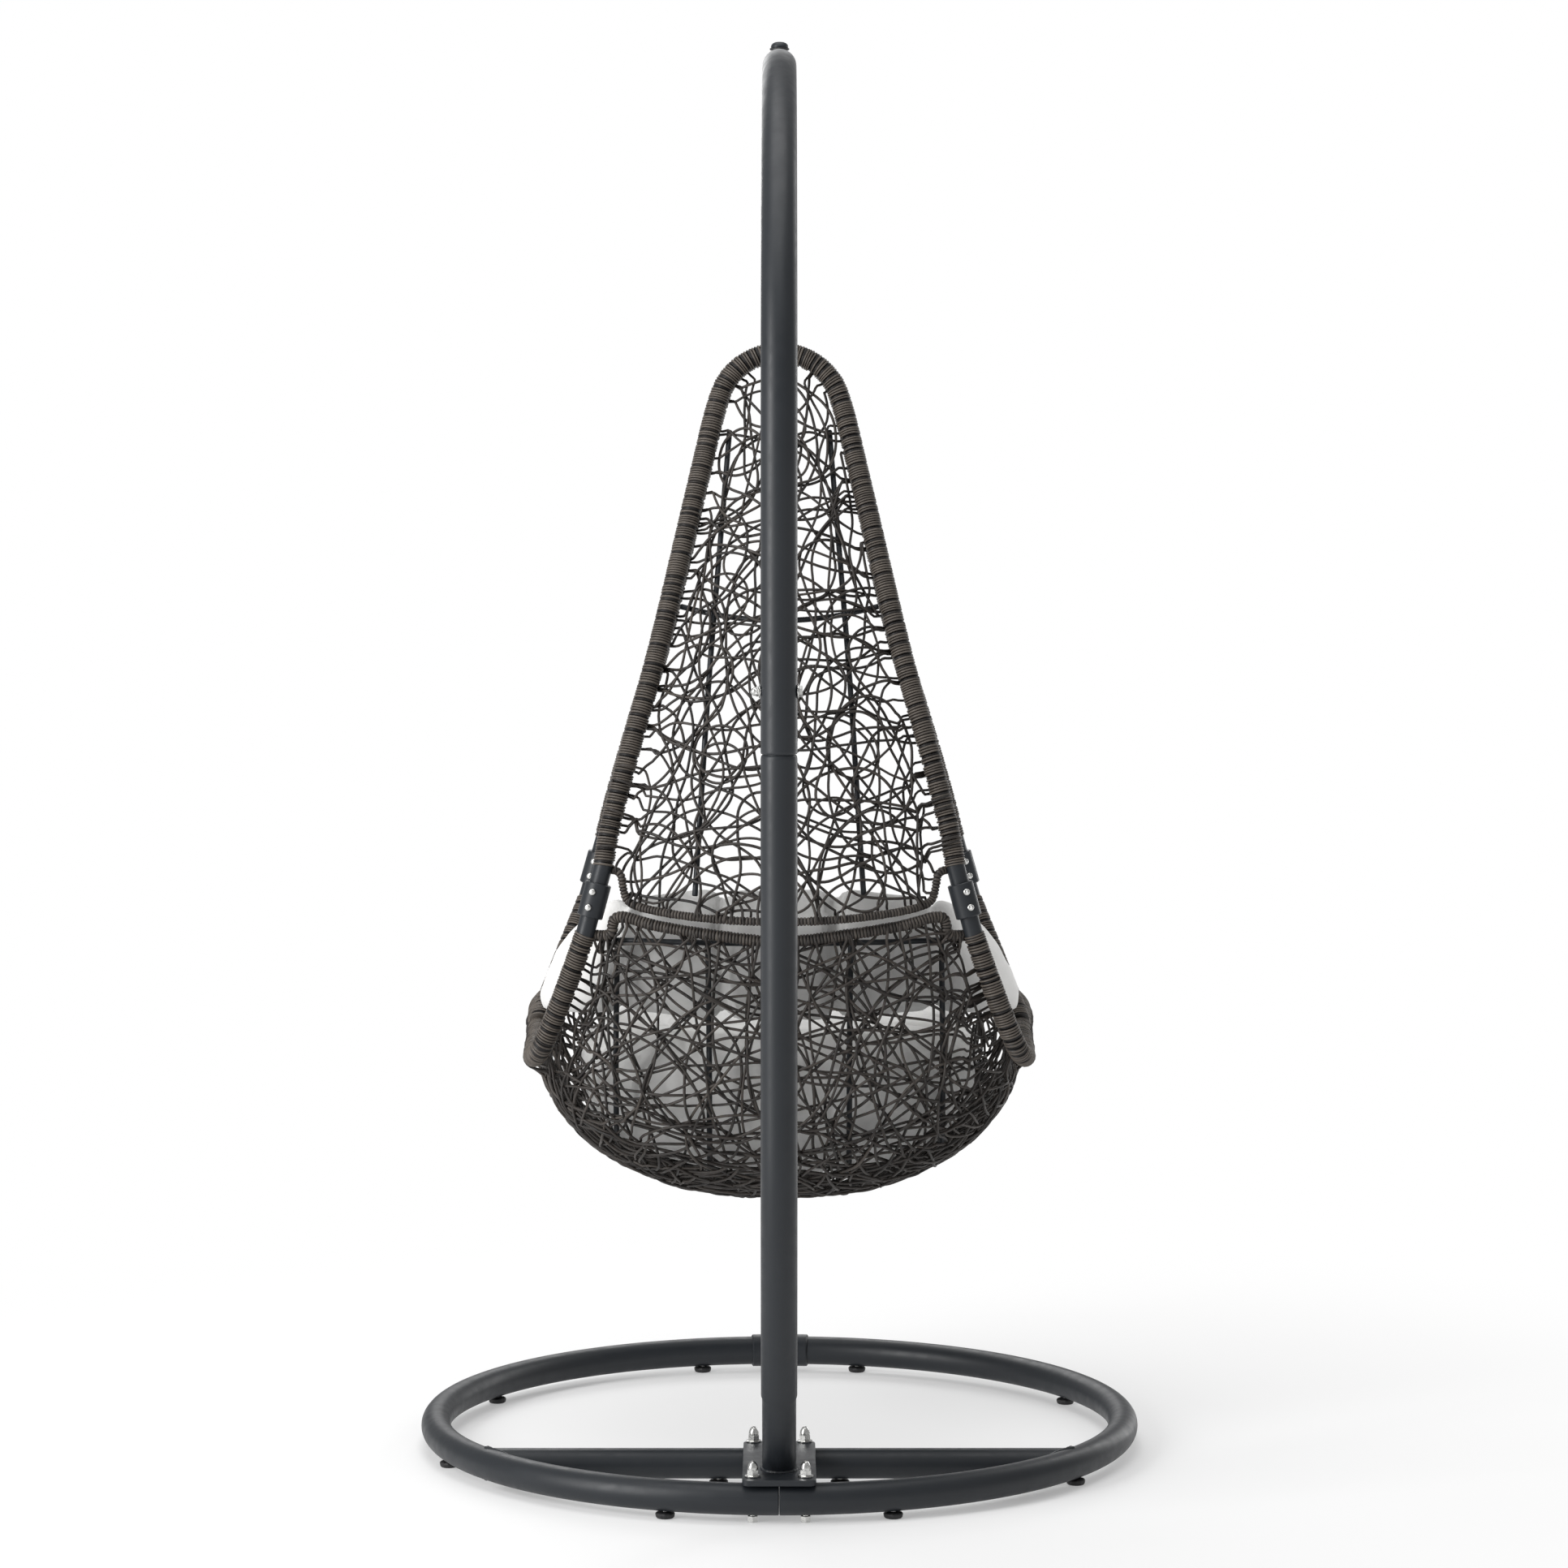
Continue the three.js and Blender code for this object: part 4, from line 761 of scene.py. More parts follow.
def hardware():
    eye = Shape()
    eye.tube(oval(1909, 1937, 14, X), WIRE, 16, closed=True)
    threaded(eye, (0, 0, 0), (0, 0, 1), 4.9, 1940, 2001)
    eye.turned([(0, 1935), (6.5, 1935.5), (8, 1938), (8, 1944), (0, 1944.8)], 32)
    eye.make("hanging_eye", "stand", STEEL, "eye_bolt", sharp=40)
    top = CROOK_TOP_Z + POLE_RADIUS
    washer = Shape()
    profile = [(0, 0.3), (13.4, 0.3), (14, 0.9), (14, 2.6), (13.2, 3.2), (0, 3.2)]
    washer.turned([(r, top + h) for r, h in profile], 48)
    washer.make("eye_washer", "stand", BLACK, "eye_bolt_washer", sharp=45)
    nut = Shape()
    profile = [(0, 3.6), (12, 3.6), (12.5, 4.2), (12.4, 6), (11.6, 8.2), (9.6, 10.2), (6.5, 11.6)]
    profile += [(3, 12.1), (0, 12.2)]
    nut.turned([(r, top + h) for r, h in profile], 48)
    nut.make("eye_dome_nut", "stand", PAINT, "eye_bolt_cap_nut", sharp=50)

    link = Shape()
    link.tube(oval(1857, 1922.5, 14.4, Y), WIRE, 16, closed=True)
    link.make("upper_link_ring", "upper_link", STEEL, "top_link")

    housing = Shape()
    profile = [(0, 1800.2), (15.5, 1800.2), (17, 1801.4), (18.9, 1805), (18.9, 1812), (18.2, 1812.8)]
    profile += [(18.2, 1814.2), (18.9, 1815), (18.9, 1834), (17.4, 1839), (14.4, 1843)]
    profile += [(10.8, 1845.6), (0, 1846)]
    housing.turned(profile, 48)
    housing.tube(oval(1841, 1871, 11, X), WIRE, 16, closed=True)
    housing.make("swivel_case", "swivel_top", STEEL, "swivel_housing", sharp=35)

    hook = Shape()
    hook.turned([(0, 1781), (6.6, 1781), (6.9, 1782), (6.9, 1799.6), (0, 1799.6)], 32)
    hook.turned([(0, 1797.6), (9.5, 1797.6), (10, 1798.2), (10, 1799.3), (9.5, 1799.7), (0, 1799.7)], 36)
    hook.tube(oval(1759, 1783, 11, X), WIRE, 16, closed=True)
    hook.make("swivel_eye", "swivel_bottom", STEEL, "swivel_hook", sharp=35)

    coil = Shape()
    low, high, turns, radius, wire = 1667.0, 1733.0, 8, 17.0, 3.3
    turn = np.linspace(0, 2 * np.pi * turns, 34 * turns)
    z = np.linspace(low, high, len(turn))
    helix = np.column_stack([radius * np.cos(turn), radius * np.sin(turn), z])
    coil.tube(helix, wire, 12, bevel=0.6)
    for bottom, top_z, level in ((1631, low, low), (high, 1769, high)):
        coil.tube(oval(bottom, top_z, 10, Y), wire, 14, closed=True)
        coil.tube(line((radius, 0, level), (-4, 0, level), 6), wire, 12, bevel=0.6)
    spring = coil.make("coil_spring", None, STEEL, "spring", sharp=50)
    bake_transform(spring)

    link = Shape()
    link.tube(oval(1590, 1642, 12, X), WIRE, 16, closed=True)
    link.make("lower_link_ring", "chair", STEEL, "bottom_link")


hardware()


# ---- Chair frame ----


def beside(joint, down, distance):
    return np.asarray(joint, float) + np.asarray(down) * distance


REAR_DOWN = unit(np.subtract(REAR_LEG[0], REAR_HOOP[-1]).astype(float))
FRONT_DOWN = unit(np.subtract(FRONT_LEG[0], FRONT_HOOP[-1]).astype(float))


def apex_arc(sign):
    share = np.array([0, 0.25, 0.5, 0.75, 1])
    turn = APEX_TURN * share
    x, z = APEX_RADIUS * np.sin(turn), APEX_Z + APEX_RADIUS * np.cos(turn)
    return np.column_stack([x, sign * (HOOP_OFFSET_Y + 14 * share**2), z])


def wrapped(shape, path, focus, gap_mean=18.0, sides=18):
    """A tube wound with round cord: a ridge for every coil, and gaps where coils part; painted shade
    darkens the valleys and gaps, and painted light lifts the crests.
    """
    path = spaced(path, 1.0)
    total = distances(path)[-1]
    pitches = []
    while sum(pitches) < total:
        pitches.append(CORD_PITCH * (1 + 0.07 * RNG.standard_normal()))
    coils = len(pitches)
    starts = np.concatenate([[0], np.cumsum(pitches)]) * total / sum(pitches)
    gap = np.zeros(coils)
    at = RNG.uniform(4, gap_mean)
    while at < total:
        gap[min(coils - 1, np.searchsorted(starts, at) - 1)] = RNG.uniform(0.5, 1.0)
        at += np.clip(RNG.gamma(5, gap_mean / 5), 9, 2.2 * gap_mean)
    rise = np.array([-1.6, -0.3, 0.35, 0.35, -0.3])
    # Painted shade and light: each coil's valley is painted darker and its crest lighter, so the wound
    # frame reads lighter than the strands.
    tone = np.array([-0.45, 0.2, 0.45, 0.45, 0.2])
    share = np.array([0.0, 0.18, 0.38, 0.62, 0.82])
    s = (starts[:-1, None] + np.diff(starts)[:, None] * share).ravel()
    coil_radius = 0.10 * RNG.standard_normal(coils)
    coil_tone = 0.07 * RNG.standard_normal(coils)
    rises = np.tile(rise, coils)
    radius = WRAP_RADIUS - 0.35 + rises + np.repeat(coil_radius, 5) * (rises > -1)
    shade = np.tile(tone, coils) + np.repeat(coil_tone, 5)
    centre = along(path, s)
    tangent = unit(along(path, np.minimum(s + 1, total)) - along(path, np.maximum(s - 1, 0)))
    n = np.asarray(focus, float) - centre
    n = unit(n - tangent * (n * tangent).sum(1, keepdims=True))
    b = np.cross(tangent, n)
    turn = even_turn(sides)
    spokes = spokes_between(n, b, turn)
    tilt = np.repeat(RNG.uniform(-0.035, 0.035, coils) + 0.05, 5)[:, None]
    tilt = tilt * np.sin(turn + RNG.uniform(0, 6))
    # Where coils part, a groove is cut on the side towards the focus and painted darker as painted
    # shadow.
    groove = np.repeat(gap, 5) * np.tile([1.0, 1.0, 0.9, 0.85, 0.8], coils)
    inner = smoothstep(np.cos(turn), -0.75, 0.1)
    radius = radius[:, None] - 2.4 * groove[:, None] * inner
    shade = shade[:, None] - 1.3 * groove[:, None] * inner
    rings = centre[:, None] + spokes * radius[:, :, None] + tangent[:, None] * (tilt * 12)[:, :, None]
    shape.loft(rings, shade=shade)


def arm(half, joint, down, sign):
    wrap_end = beside(joint, down, -BARE_LENGTH)
    return smooth_curve(over_the_top(np.vstack([apex_arc(sign), half, wrap_end])))


def hoops():
    focus = (0, 500, 1150)
    for sign, half, joint, down, name, node in (
        (1, REAR_HOOP, REAR_JOINT, REAR_DOWN, "hoop_rear", "rear_hoop_upper"),
        (-1, FRONT_HOOP, FRONT_JOINT, FRONT_DOWN, "hoop_front", "front_hoop_upper"),
    ):
        shape = Shape()
        wrapped(shape, arm(half, joint, down, sign), focus)
        if sign > 0:
            top = APEX_Z + APEX_RADIUS + WRAP_RADIUS
            shape.tube(oval(top - 4, BOTTOM_LOOP_Z, 12, Y), 4.8, 16, closed=True, shade=0.1)
            shape.tube(line((0, 14, top - 6), (0, 0, top + 2), 3), 6, 16, bevel=1)
        shape.make(name, "chair", WICKER, node, sharp=75)


def rim_path():
    half = [*FRONT_LIP[::-1], *SEAT_RAIL[::-1], *REAR_CORNER[::-1], *REAR_LEG[::-1]]
    return smooth_curve(over_the_top([*half, beside(REAR_JOINT, REAR_DOWN, BARE_LENGTH)]))


def lower_rim():
    shape = Shape()
    wrapped(shape, rim_path(), (0, 600, 700))
    shape.make("seat_rim", "chair", WICKER, "lower_rim", sharp=75)
    for flip, name in ((np.ones(3), "left"), (np.array([-1, 1, 1]), "right")):
        top = beside(FRONT_JOINT, FRONT_DOWN, BARE_LENGTH)
        leg = smooth_curve(np.vstack([top, FRONT_LEG, FRONT_LEG_FOOT]) * flip)
        shape = Shape()
        wrapped(shape, leg, (0, 600, 700))
        shape.make(f"hoop_leg_{name}", "chair", WICKER, f"front_leg_{name}", sharp=75)


def frame_joints():
    joints = (("rear", REAR_JOINT, REAR_DOWN), ("front", FRONT_JOINT, FRONT_DOWN))
    for place_name, joint, down in joints:
        for side, side_name in ((1, "left"), (-1, "right")):
            flip = np.array([side, 1, 1])
            axis, at = down * flip, np.array(joint, float) * flip
            tag = f"{place_name}_{side_name}"
            for way, run in ((-1, "above"), (1, "below")):
                tube = Shape()
                ends = [at + way * reach * axis for reach in (0.3, BARE_LENGTH + 6)]
                tube.tube(line(*ends, 4), BARE_RADIUS, 36, bevel=0.4)
                tube.make(f"bare_tube_{run}_{tag}", "chair", PAINT, sharp=40)
            half = SLEEVE_LENGTH / 2
            r = SLEEVE_RADIUS
            profile = [(BARE_RADIUS + 0.3, -half), (r - 1.2, -half), (r, -half + 1.2), (r, half - 1.2)]
            profile += [(r - 1.2, half), (BARE_RADIUS + 0.3, half)]
            sleeve = Shape()
            sleeve.turned(profile, 48, at, axis)
            sleeve.make(f"sleeve_{tag}", "chair", PAINT, f"joint_sleeve_{tag}", sharp=40)
            outward = unit(np.array([side * 0.3, 1, 0]))
            outward = unit(outward - axis * (outward @ axis))
            for i, offset in enumerate((-11, 11), 1):
                screw = Shape()
                pan_screw(screw, at + axis * offset + outward * (r + 0.3), outward)
                screw.make(f"screw_{tag}_{i}", "chair", STEEL, f"joint_screw_{tag}_{i}", sharp=35)


# ---- Woven surfaces ----

REAR_ARM = np.vstack([apex_arc(1), REAR_HOOP, beside(REAR_JOINT, REAR_DOWN, -BARE_LENGTH)])
REAR_ARM = spaced(smooth_curve(REAR_ARM), 2.0)
REAR_ARM_TANGENT = tangents(REAR_ARM)


def smoothstep(x, low, high):
    t = np.clip((x - low) / (high - low), 0, 1)
    return t * t * (3 - 2 * t)


def back_edge(down):
    where = np.asarray(down) * (len(REAR_ARM) - 1)
    index = np.arange(len(REAR_ARM))
    at = np.stack([np.interp(where, index, REAR_ARM[:, i]) for i in range(3)], axis=-1)
    t = np.stack([np.interp(where, index, REAR_ARM_TANGENT[:, i]) for i in range(3)], axis=-1)
    inward = unit(np.stack([t[..., 2], 0 * t[..., 0], -t[..., 0]], axis=-1))
    return at + inward * (WRAP_RADIUS + 1.8)


def back_point(across, down):
    """The back's outside: across from -1 to 1, and down from 0 at the apex to 1 at its lower edge."""
    edge = back_edge(down)
    across = np.asarray(across, float)
    bulge = BACK_BULGE * np.sin(np.pi / 2 * np.clip(down, 0, 1)) ** 1.3
    sag = np.interp(np.abs(across), *BACK_SAG) * smoothstep(np.asarray(down, float), 0.6, 1)
    x = across * np.maximum(edge[..., 0], 0)
    return np.stack([x, edge[..., 1] + bulge * (1 - across**2), edge[..., 2] - sag], axis=-1)


def samples_around(half):
    half = np.asarray(half, float)
    loop = smooth_curve(np.vstack([half, mirrored(half[1:-1][::-1])]), closed=True)
    loop = spaced(loop, 5)[:-1]
    turn = np.arctan2(loop[:, 0], BOWL_BOTTOM[1] - loop[:, 1])
    radius = np.hypot(loop[:, 0], loop[:, 1] - BOWL_BOTTOM[1])
    order = np.argsort(turn)
    turn, radius, z = turn[order], radius[order], loop[order, 2]
    wrap = 2 * np.pi
    return np.concatenate([turn - wrap, turn, turn + wrap]), np.tile(radius, 3), np.tile(z, 3)


EDGE_SAMPLES, OUTLINE_SAMPLES = samples_around(BOWL_EDGE), samples_around(BOWL_OUTLINE)


def bowl_at(turn, z, inset=0.0):
    turn = np.asarray((np.asarray(turn, float) + np.pi) % (2 * np.pi) - np.pi)
    outline = np.interp(turn, OUTLINE_SAMPLES[0], OUTLINE_SAMPLES[1])
    rim_radius = np.interp(turn, EDGE_SAMPLES[0], EDGE_SAMPLES[1])
    rim_z = np.interp(turn, EDGE_SAMPLES[0], EDGE_SAMPLES[2])
    p = BOWL_ROUNDNESS
    depth = np.clip((SHOULDER_Z - z) / (SHOULDER_Z - BOWL_BOTTOM[2] - inset), 0, 1)
    below = (outline - inset) * (1 - depth**p) ** (1 / p)
    rise = np.clip((z - SHOULDER_Z) / np.maximum(20, rim_z - SHOULDER_Z), 0, 1)
    above = outline + (rim_radius - outline) * rise**1.5 - inset
    radius = np.where(z < SHOULDER_Z, below, above)
    y = BOWL_BOTTOM[1] - radius * np.cos(turn)
    return np.stack([radius * np.sin(turn), y, z + 0 * turn], axis=-1)


def bowl_point(turn, drop, inset=0.0):
    turn = (np.asarray(turn, float) + np.pi) % (2 * np.pi) - np.pi
    top = np.interp(turn, EDGE_SAMPLES[0], EDGE_SAMPLES[2])
    bottom = BOWL_BOTTOM[2] + inset
    return bowl_at(turn, top - (top - bottom) * np.sin(np.clip(drop, 0, 1) * np.pi / 2) ** 1.1, inset)


def bowl_floor(x, y, inset):
    turn = np.arctan2(x, BOWL_BOTTOM[1] - y)
    outline = np.interp(turn, OUTLINE_SAMPLES[0], OUTLINE_SAMPLES[1]) - inset
    share = np.minimum(1, np.hypot(x, y - BOWL_BOTTOM[1]) / outline)
    depth = (1 - share**BOWL_ROUNDNESS) ** (1 / BOWL_ROUNDNESS)
    return np.stack([x, y, SHOULDER_Z - (SHOULDER_Z - BOWL_BOTTOM[2] - inset) * depth], axis=-1)


class Sheet:
    """A surface given over flat coordinates u, v, for laying strands on."""

    def __init__(self, at, inside, step=1e-3):
        self.at, self.inside, self.step = at, inside, step

    def jacobian(self, uv):
        e = self.step
        du = (self.at(uv + [e, 0]) - self.at(uv - [e, 0])) / (2 * e)
        dv = (self.at(uv + [0, e]) - self.at(uv - [0, e])) / (2 * e)
        return du, dv

    def normal(self, uv):
        du, dv = self.jacobian(uv)
        return unit(np.cross(du, dv))

    def level(self, uv, angle):
        """A tangent to the surface, `angle` from the horizontal."""
        n = self.normal(uv)
        flat = unit(np.cross([0.0, 0.0, 1.0], n) + 1e-6)
        return flat * np.cos(angle)[:, None] + np.cross(n, flat) * np.sin(angle)[:, None]

    def move(self, uv, direction, bend):
        """The step in u and v for a unit step along a tangent turned by `bend`, and that tangent."""
        du, dv = self.jacobian(uv)
        n = unit(np.cross(du, dv))
        direction = unit(direction - n * (direction * n).sum(1, keepdims=True))
        direction = unit(direction + np.cross(n, direction) * bend[:, None])
        a, b, c = (du * du).sum(1), (du * dv).sum(1), (dv * dv).sum(1)
        p, q = (du * direction).sum(1), (dv * direction).sum(1)
        area = np.maximum(a * c - b * b, 1e-3)
        return np.stack([(c * p - b * q) / area, (a * q - b * p) / area], axis=-1), direction


def walk(sheet, uv, direction, bend, curl, spread, steps=190):
    """Smooth random walks over a sheet, each cut where it leaves; None where it never does."""
    tracks = [uv]
    push = curl * math.sqrt(2 * WALK_STEP / spread)
    for _ in range(steps):
        bend = bend - bend * WALK_STEP / spread + push * RNG.standard_normal(len(uv))
        move, direction = sheet.move(uv, direction, bend * WALK_STEP)
        uv = uv + np.clip(move * WALK_STEP, -0.06, 0.06)
        tracks.append(uv)
    found = []
    for track in np.array(tracks).transpose(1, 0, 2):
        outside = np.flatnonzero(~sheet.inside(track))
        found.append(track[: outside[0]] if len(outside) and outside[0] > 0 else None)
    return found


SEEDS_DRAWN, WALKS_TRIED, WALKS_KEPT, SHORTEST_TRACK = 400, 40, 12, 25


def strands_over(sheet, seeds, length, cell, curl, spread):
    """Walks that cover a sheet evenly: they start in thin cover, and the most crowded are dropped."""
    cover, tracks, laid = {}, [], 0.0
    while laid < length:
        uv, direction = seeds(SEEDS_DRAWN)
        keys = np.floor(sheet.at(uv) / cell).astype(int)
        cover_there = [cover.get(tuple(k), 0) + 0.4 * RNG.random() for k in keys]
        pick = np.argsort(cover_there)[:WALKS_TRIED]
        uv, direction = uv[pick], direction[pick]
        bend = curl * RNG.standard_normal(len(uv))
        ahead = walk(sheet, uv, direction, bend, curl, spread)
        behind = walk(sheet, uv, -direction, -bend, curl, spread)
        pairs = [(a, b) for a, b in zip(ahead, behind) if a is not None and b is not None]
        found = [np.vstack([b[:0:-1], a]) for a, b in pairs]
        found = [track for track in found if len(track) > SHORTEST_TRACK]
        cells = []
        for track in found:
            cells.append([tuple(k) for k in np.floor(sheet.at(track) / cell).astype(int)])
        for _ in range(WALKS_KEPT):
            if not found:
                break
            crowding = [np.mean([cover.get(k, 0) ** 2 for k in keys]) for keys in cells]
            best = int(np.argmin(crowding))
            for k in set(cells[best]):
                cover[k] = cover.get(k, 0) + 1
            tracks.append(found.pop(best))
            cells.pop(best)
            laid += WALK_STEP * len(tracks[-1])
    return tracks


def woven_heights(points, owner, limit=4.4, rounds=20):
    """How far each strand point lifts off the sheet so that crossing strands pass over one another."""
    height = 1.5 * np.sin(np.arange(len(points)) * 0.23 + owner * 1.7)
    tree = kdtree.KDTree(len(points))
    for i, p in enumerate(points):
        tree.insert(p, i)
    tree.balance()
    pairs = []
    for i, p in enumerate(points):
        for _, j, _ in tree.find_range(p, 2 * STRAND_RADIUS + 1.4):
            if j > i and (owner[j] != owner[i] or j - i > 12):
                pairs.append((i, j))
    pairs = np.array(pairs or [(0, 0)])
    flat = np.linalg.norm(points[pairs[:, 0]] - points[pairs[:, 1]], axis=1)
    need = np.sqrt(np.maximum((2 * STRAND_RADIUS + 0.1) ** 2 - (flat * 0.8) ** 2, 0))
    same = owner[1:] == owner[:-1]
    inner = same[1:] & same[:-1]
    for _ in range(rounds):
        difference = height[pairs[:, 0]] - height[pairs[:, 1]]
        side = np.where(difference >= 0, 1.0, -1.0)
        short = np.maximum(need - np.abs(difference), 0) * side * 0.35
        push = np.zeros(len(height))
        weight = np.zeros(len(height))
        np.add.at(push, pairs[:, 0], short)
        np.add.at(push, pairs[:, 1], -short)
        np.add.at(weight, pairs.ravel(), 1)
        height += push / np.maximum(1, np.sqrt(weight))
        middle = height.copy()
        average = 0.5 * height[1:-1] + 0.25 * (height[2:] + height[:-2])
        middle[1:-1] = np.where(inner, average, height[1:-1])
        height = np.clip(middle, -limit, limit)
    return height


def rail_curl(rail, tangent, at, came, radius, turns):
    """Points that carry a strand's end round a rail, like cane tied off on a bar."""
    i = int(np.argmin(((rail - at) ** 2).sum(1)))
    axis = tangent[i] * (1.0 if RNG.random() < 0.5 else -1.0)
    spoke = at - rail[i]
    spoke = unit(spoke - axis * (spoke @ axis))
    other = np.cross(axis, spoke)
    side = 1.0 if other @ came >= 0 else -1.0
    turn = np.linspace(0, turns * 2 * np.pi, max(6, int(turns * 20)))[1:]
    tucked = radius - 3.4 * smoothstep(turn, 0.9, 2.6)
    reach = tucked + (np.linalg.norm(at - rail[i]) - tucked) * np.exp(-turn * 2.2)
    ring = spoke * np.cos(turn)[:, None] + side * other * np.sin(turn)[:, None]
    drift = axis * (turn * 2.6 / (2 * np.pi) * 2 * STRAND_RADIUS)[:, None]
    return rail[i] + ring * reach[:, None] + drift


TIE_REACH = 42  # a strand that ends farther than this from a rail isn't tied to it


def lay_strands(sheet, tracks, rails, names, node):
    """Lofts the chosen tracks as round strands, tied round the rails at both ends."""
    flats, normals, owner = [], [], []
    for i, uv in enumerate(tracks):
        p = sheet.at(uv)
        flats.append(p)
        normals.append(sheet.normal(uv))
        owner.append(np.full(len(p), i))
    flat, normal, owner = np.vstack(flats), np.vstack(normals), np.concatenate(owner)
    height = woven_heights(flat, owner)
    lifted = flat + normal * height[:, None]
    rail_points = np.vstack([r for r, _ in rails])
    rail_tangents = np.vstack([tangents(r) for r, _ in rails])
    rail_radius = np.concatenate([np.full(len(r), radius) for r, radius in rails])
    shapes = [Shape() for _ in names]
    turn = even_turn(7)
    for i in range(len(tracks)):
        p = lifted[owner == i][2:-2]
        pieces = [p]
        for end, inward in ((p[0], p[1]), (p[-1], p[-2])):
            near = int(np.argmin(((rail_points - end) ** 2).sum(1)))
            if np.linalg.norm(rail_points[near] - end) > TIE_REACH:
                continue
            radius = rail_radius[near] + STRAND_RADIUS - 0.4
            turns = RNG.uniform(0.42, 0.6)
            curl = rail_curl(rail_points, rail_tangents, end, end - inward, radius, turns)
            if np.allclose(end, p[0]):
                pieces.insert(0, curl[::-1])
            else:
                pieces.append(curl)
        path = spaced(smooth_curve(np.vstack(pieces), per_span=2), 5.6)
        _, n, b = (f[0] for f in frames_along(path[None]))
        r = STRAND_RADIUS * (1 + 0.05 * RNG.standard_normal())
        # Painted shade: every strand is offset 0.06 darker than the wound frame. The rest of its tone
        # varies at random.
        tone = -0.06 + 0.10 * RNG.standard_normal()
        tone = tone + 0.05 * np.sin(distances(path) / 31 + RNG.uniform(0, 6))
        rings = path[:, None] + spokes_between(n, b, turn) * r
        shapes[i % len(names)].loft(rings, shade=tone[:, None])
    for k, (name, shape) in enumerate(zip(names, shapes)):
        if shape.points:
            shape.make(name, "chair", WICKER, node if k == 0 else None)


def back_weave():
    inset = np.array([0, -0.5 * WEAVE_THICKNESS, 0])
    sheet = Sheet(
        lambda uv: back_point(np.clip(uv[..., 0], -1, 1), np.clip(uv[..., 1], 0.03, 1)) + inset,
        lambda uv: (np.abs(uv[:, 0]) < 1) & (uv[:, 1] < 1) & (uv[:, 1] > 0.06),
    )

    def seeds(count):
        across, down = RNG.uniform(-0.96, 0.96, count), 0.08 + 0.9 * RNG.random(count) ** 0.7
        uv = np.column_stack([across, down])
        return uv, sheet.level(uv, RNG.uniform(0, 2 * np.pi, count))

    tracks = strands_over(sheet, seeds, BACK_STRAND_LENGTH, 24.0, 1 / 85, 80.0)
    arms = spaced(arm(REAR_HOOP, REAR_JOINT, REAR_DOWN, 1), 3.0)
    edge = spaced(bar_path(BACK_BAR, *BACK_BAR_Y), 3.0)
    rails = [(arms, WRAP_RADIUS), (edge, BAR_RADIUS * 0.85)]
    lay_strands(sheet, tracks, rails, ["back_strands"], "back_weave")


def bowl_weave():
    def at(uv):
        rho = np.hypot(uv[..., 0], uv[..., 1])
        turn = np.arctan2(uv[..., 0], uv[..., 1])
        drop = 1 - np.clip(rho, 1e-4, 1) ** 0.826
        return bowl_point(turn, drop, 0.5 * WEAVE_THICKNESS)

    sheet = Sheet(at, lambda uv: np.hypot(uv[:, 0], uv[:, 1]) < 1, 2e-3)

    def seeds(count):
        turn, rho = RNG.uniform(-np.pi, np.pi, count), np.sqrt(RNG.random(count)) * 0.98
        uv = rho[:, None] * np.column_stack([np.sin(turn), np.cos(turn)])
        spread = np.where(RNG.random(count) < 0.4, 0.5, 2.5)
        return uv, sheet.level(uv, spread * RNG.standard_normal(count))

    tracks = strands_over(sheet, seeds, BOWL_STRAND_LENGTH, 32.0, 1 / 170, 120.0)
    edge = spaced(bar_path(BOWL_BAR, *BOWL_BAR_Y), 3.0)
    rails = [(spaced(rim_path(), 3.0), WRAP_RADIUS), (edge, BAR_RADIUS * 0.85)]
    names = [f"bowl_strands_{number}" for number in range(1, 6)]
    lay_strands(sheet, tracks, rails, names, "bowl_weave")


def cord_bar(shape, path, focus, radius):
    """A thin bar wound with cord, with painted shade in each coil's valley."""
    path = spaced(path, 1.0)
    total = distances(path)[-1]
    coils = int(total / BAR_COIL)
    share = (np.arange(coils)[:, None] + [0.0, 0.25, 0.75]).ravel() / coils
    centre = along(path, share * total)
    rise = np.tile([-1.3, 0.2, 0.2], coils) + np.repeat(0.18 * RNG.standard_normal(coils), 3)
    # Painted shade and light: each coil's valley is painted darker and its two crest rings lighter. The
    # rest varies at random.
    tone = np.tile([-0.5, 0.15, 0.15], coils) + np.repeat(0.08 * RNG.standard_normal(coils), 3)
    shape.tube(centre, radius + rise, 12, focus=focus, shade=tone)


def bar_path(half, ends_y, middle_y):
    """An edge bar from its X and Z points, with Y running between its ends and its middle."""
    x, z = np.array(half, float).T
    y = middle_y + (ends_y - middle_y) * (x / x[0]) ** 2
    return smooth_curve(over_the_top(np.column_stack([x, y, z])[::-1]))


def edge_bars():
    for path, radius, name in (
        (bar_path(BACK_BAR, *BACK_BAR_Y), BAR_RADIUS - 0.9, "back_edge_bar"),
        (bar_path(BOWL_BAR, *BOWL_BAR_Y), BAR_RADIUS + 1.2, "bowl_edge_bar"),
    ):
        shape = Shape()
        cord_bar(shape, path, (0, -900, 800), radius)
        shape.make(name, "chair", WICKER, sharp=80)


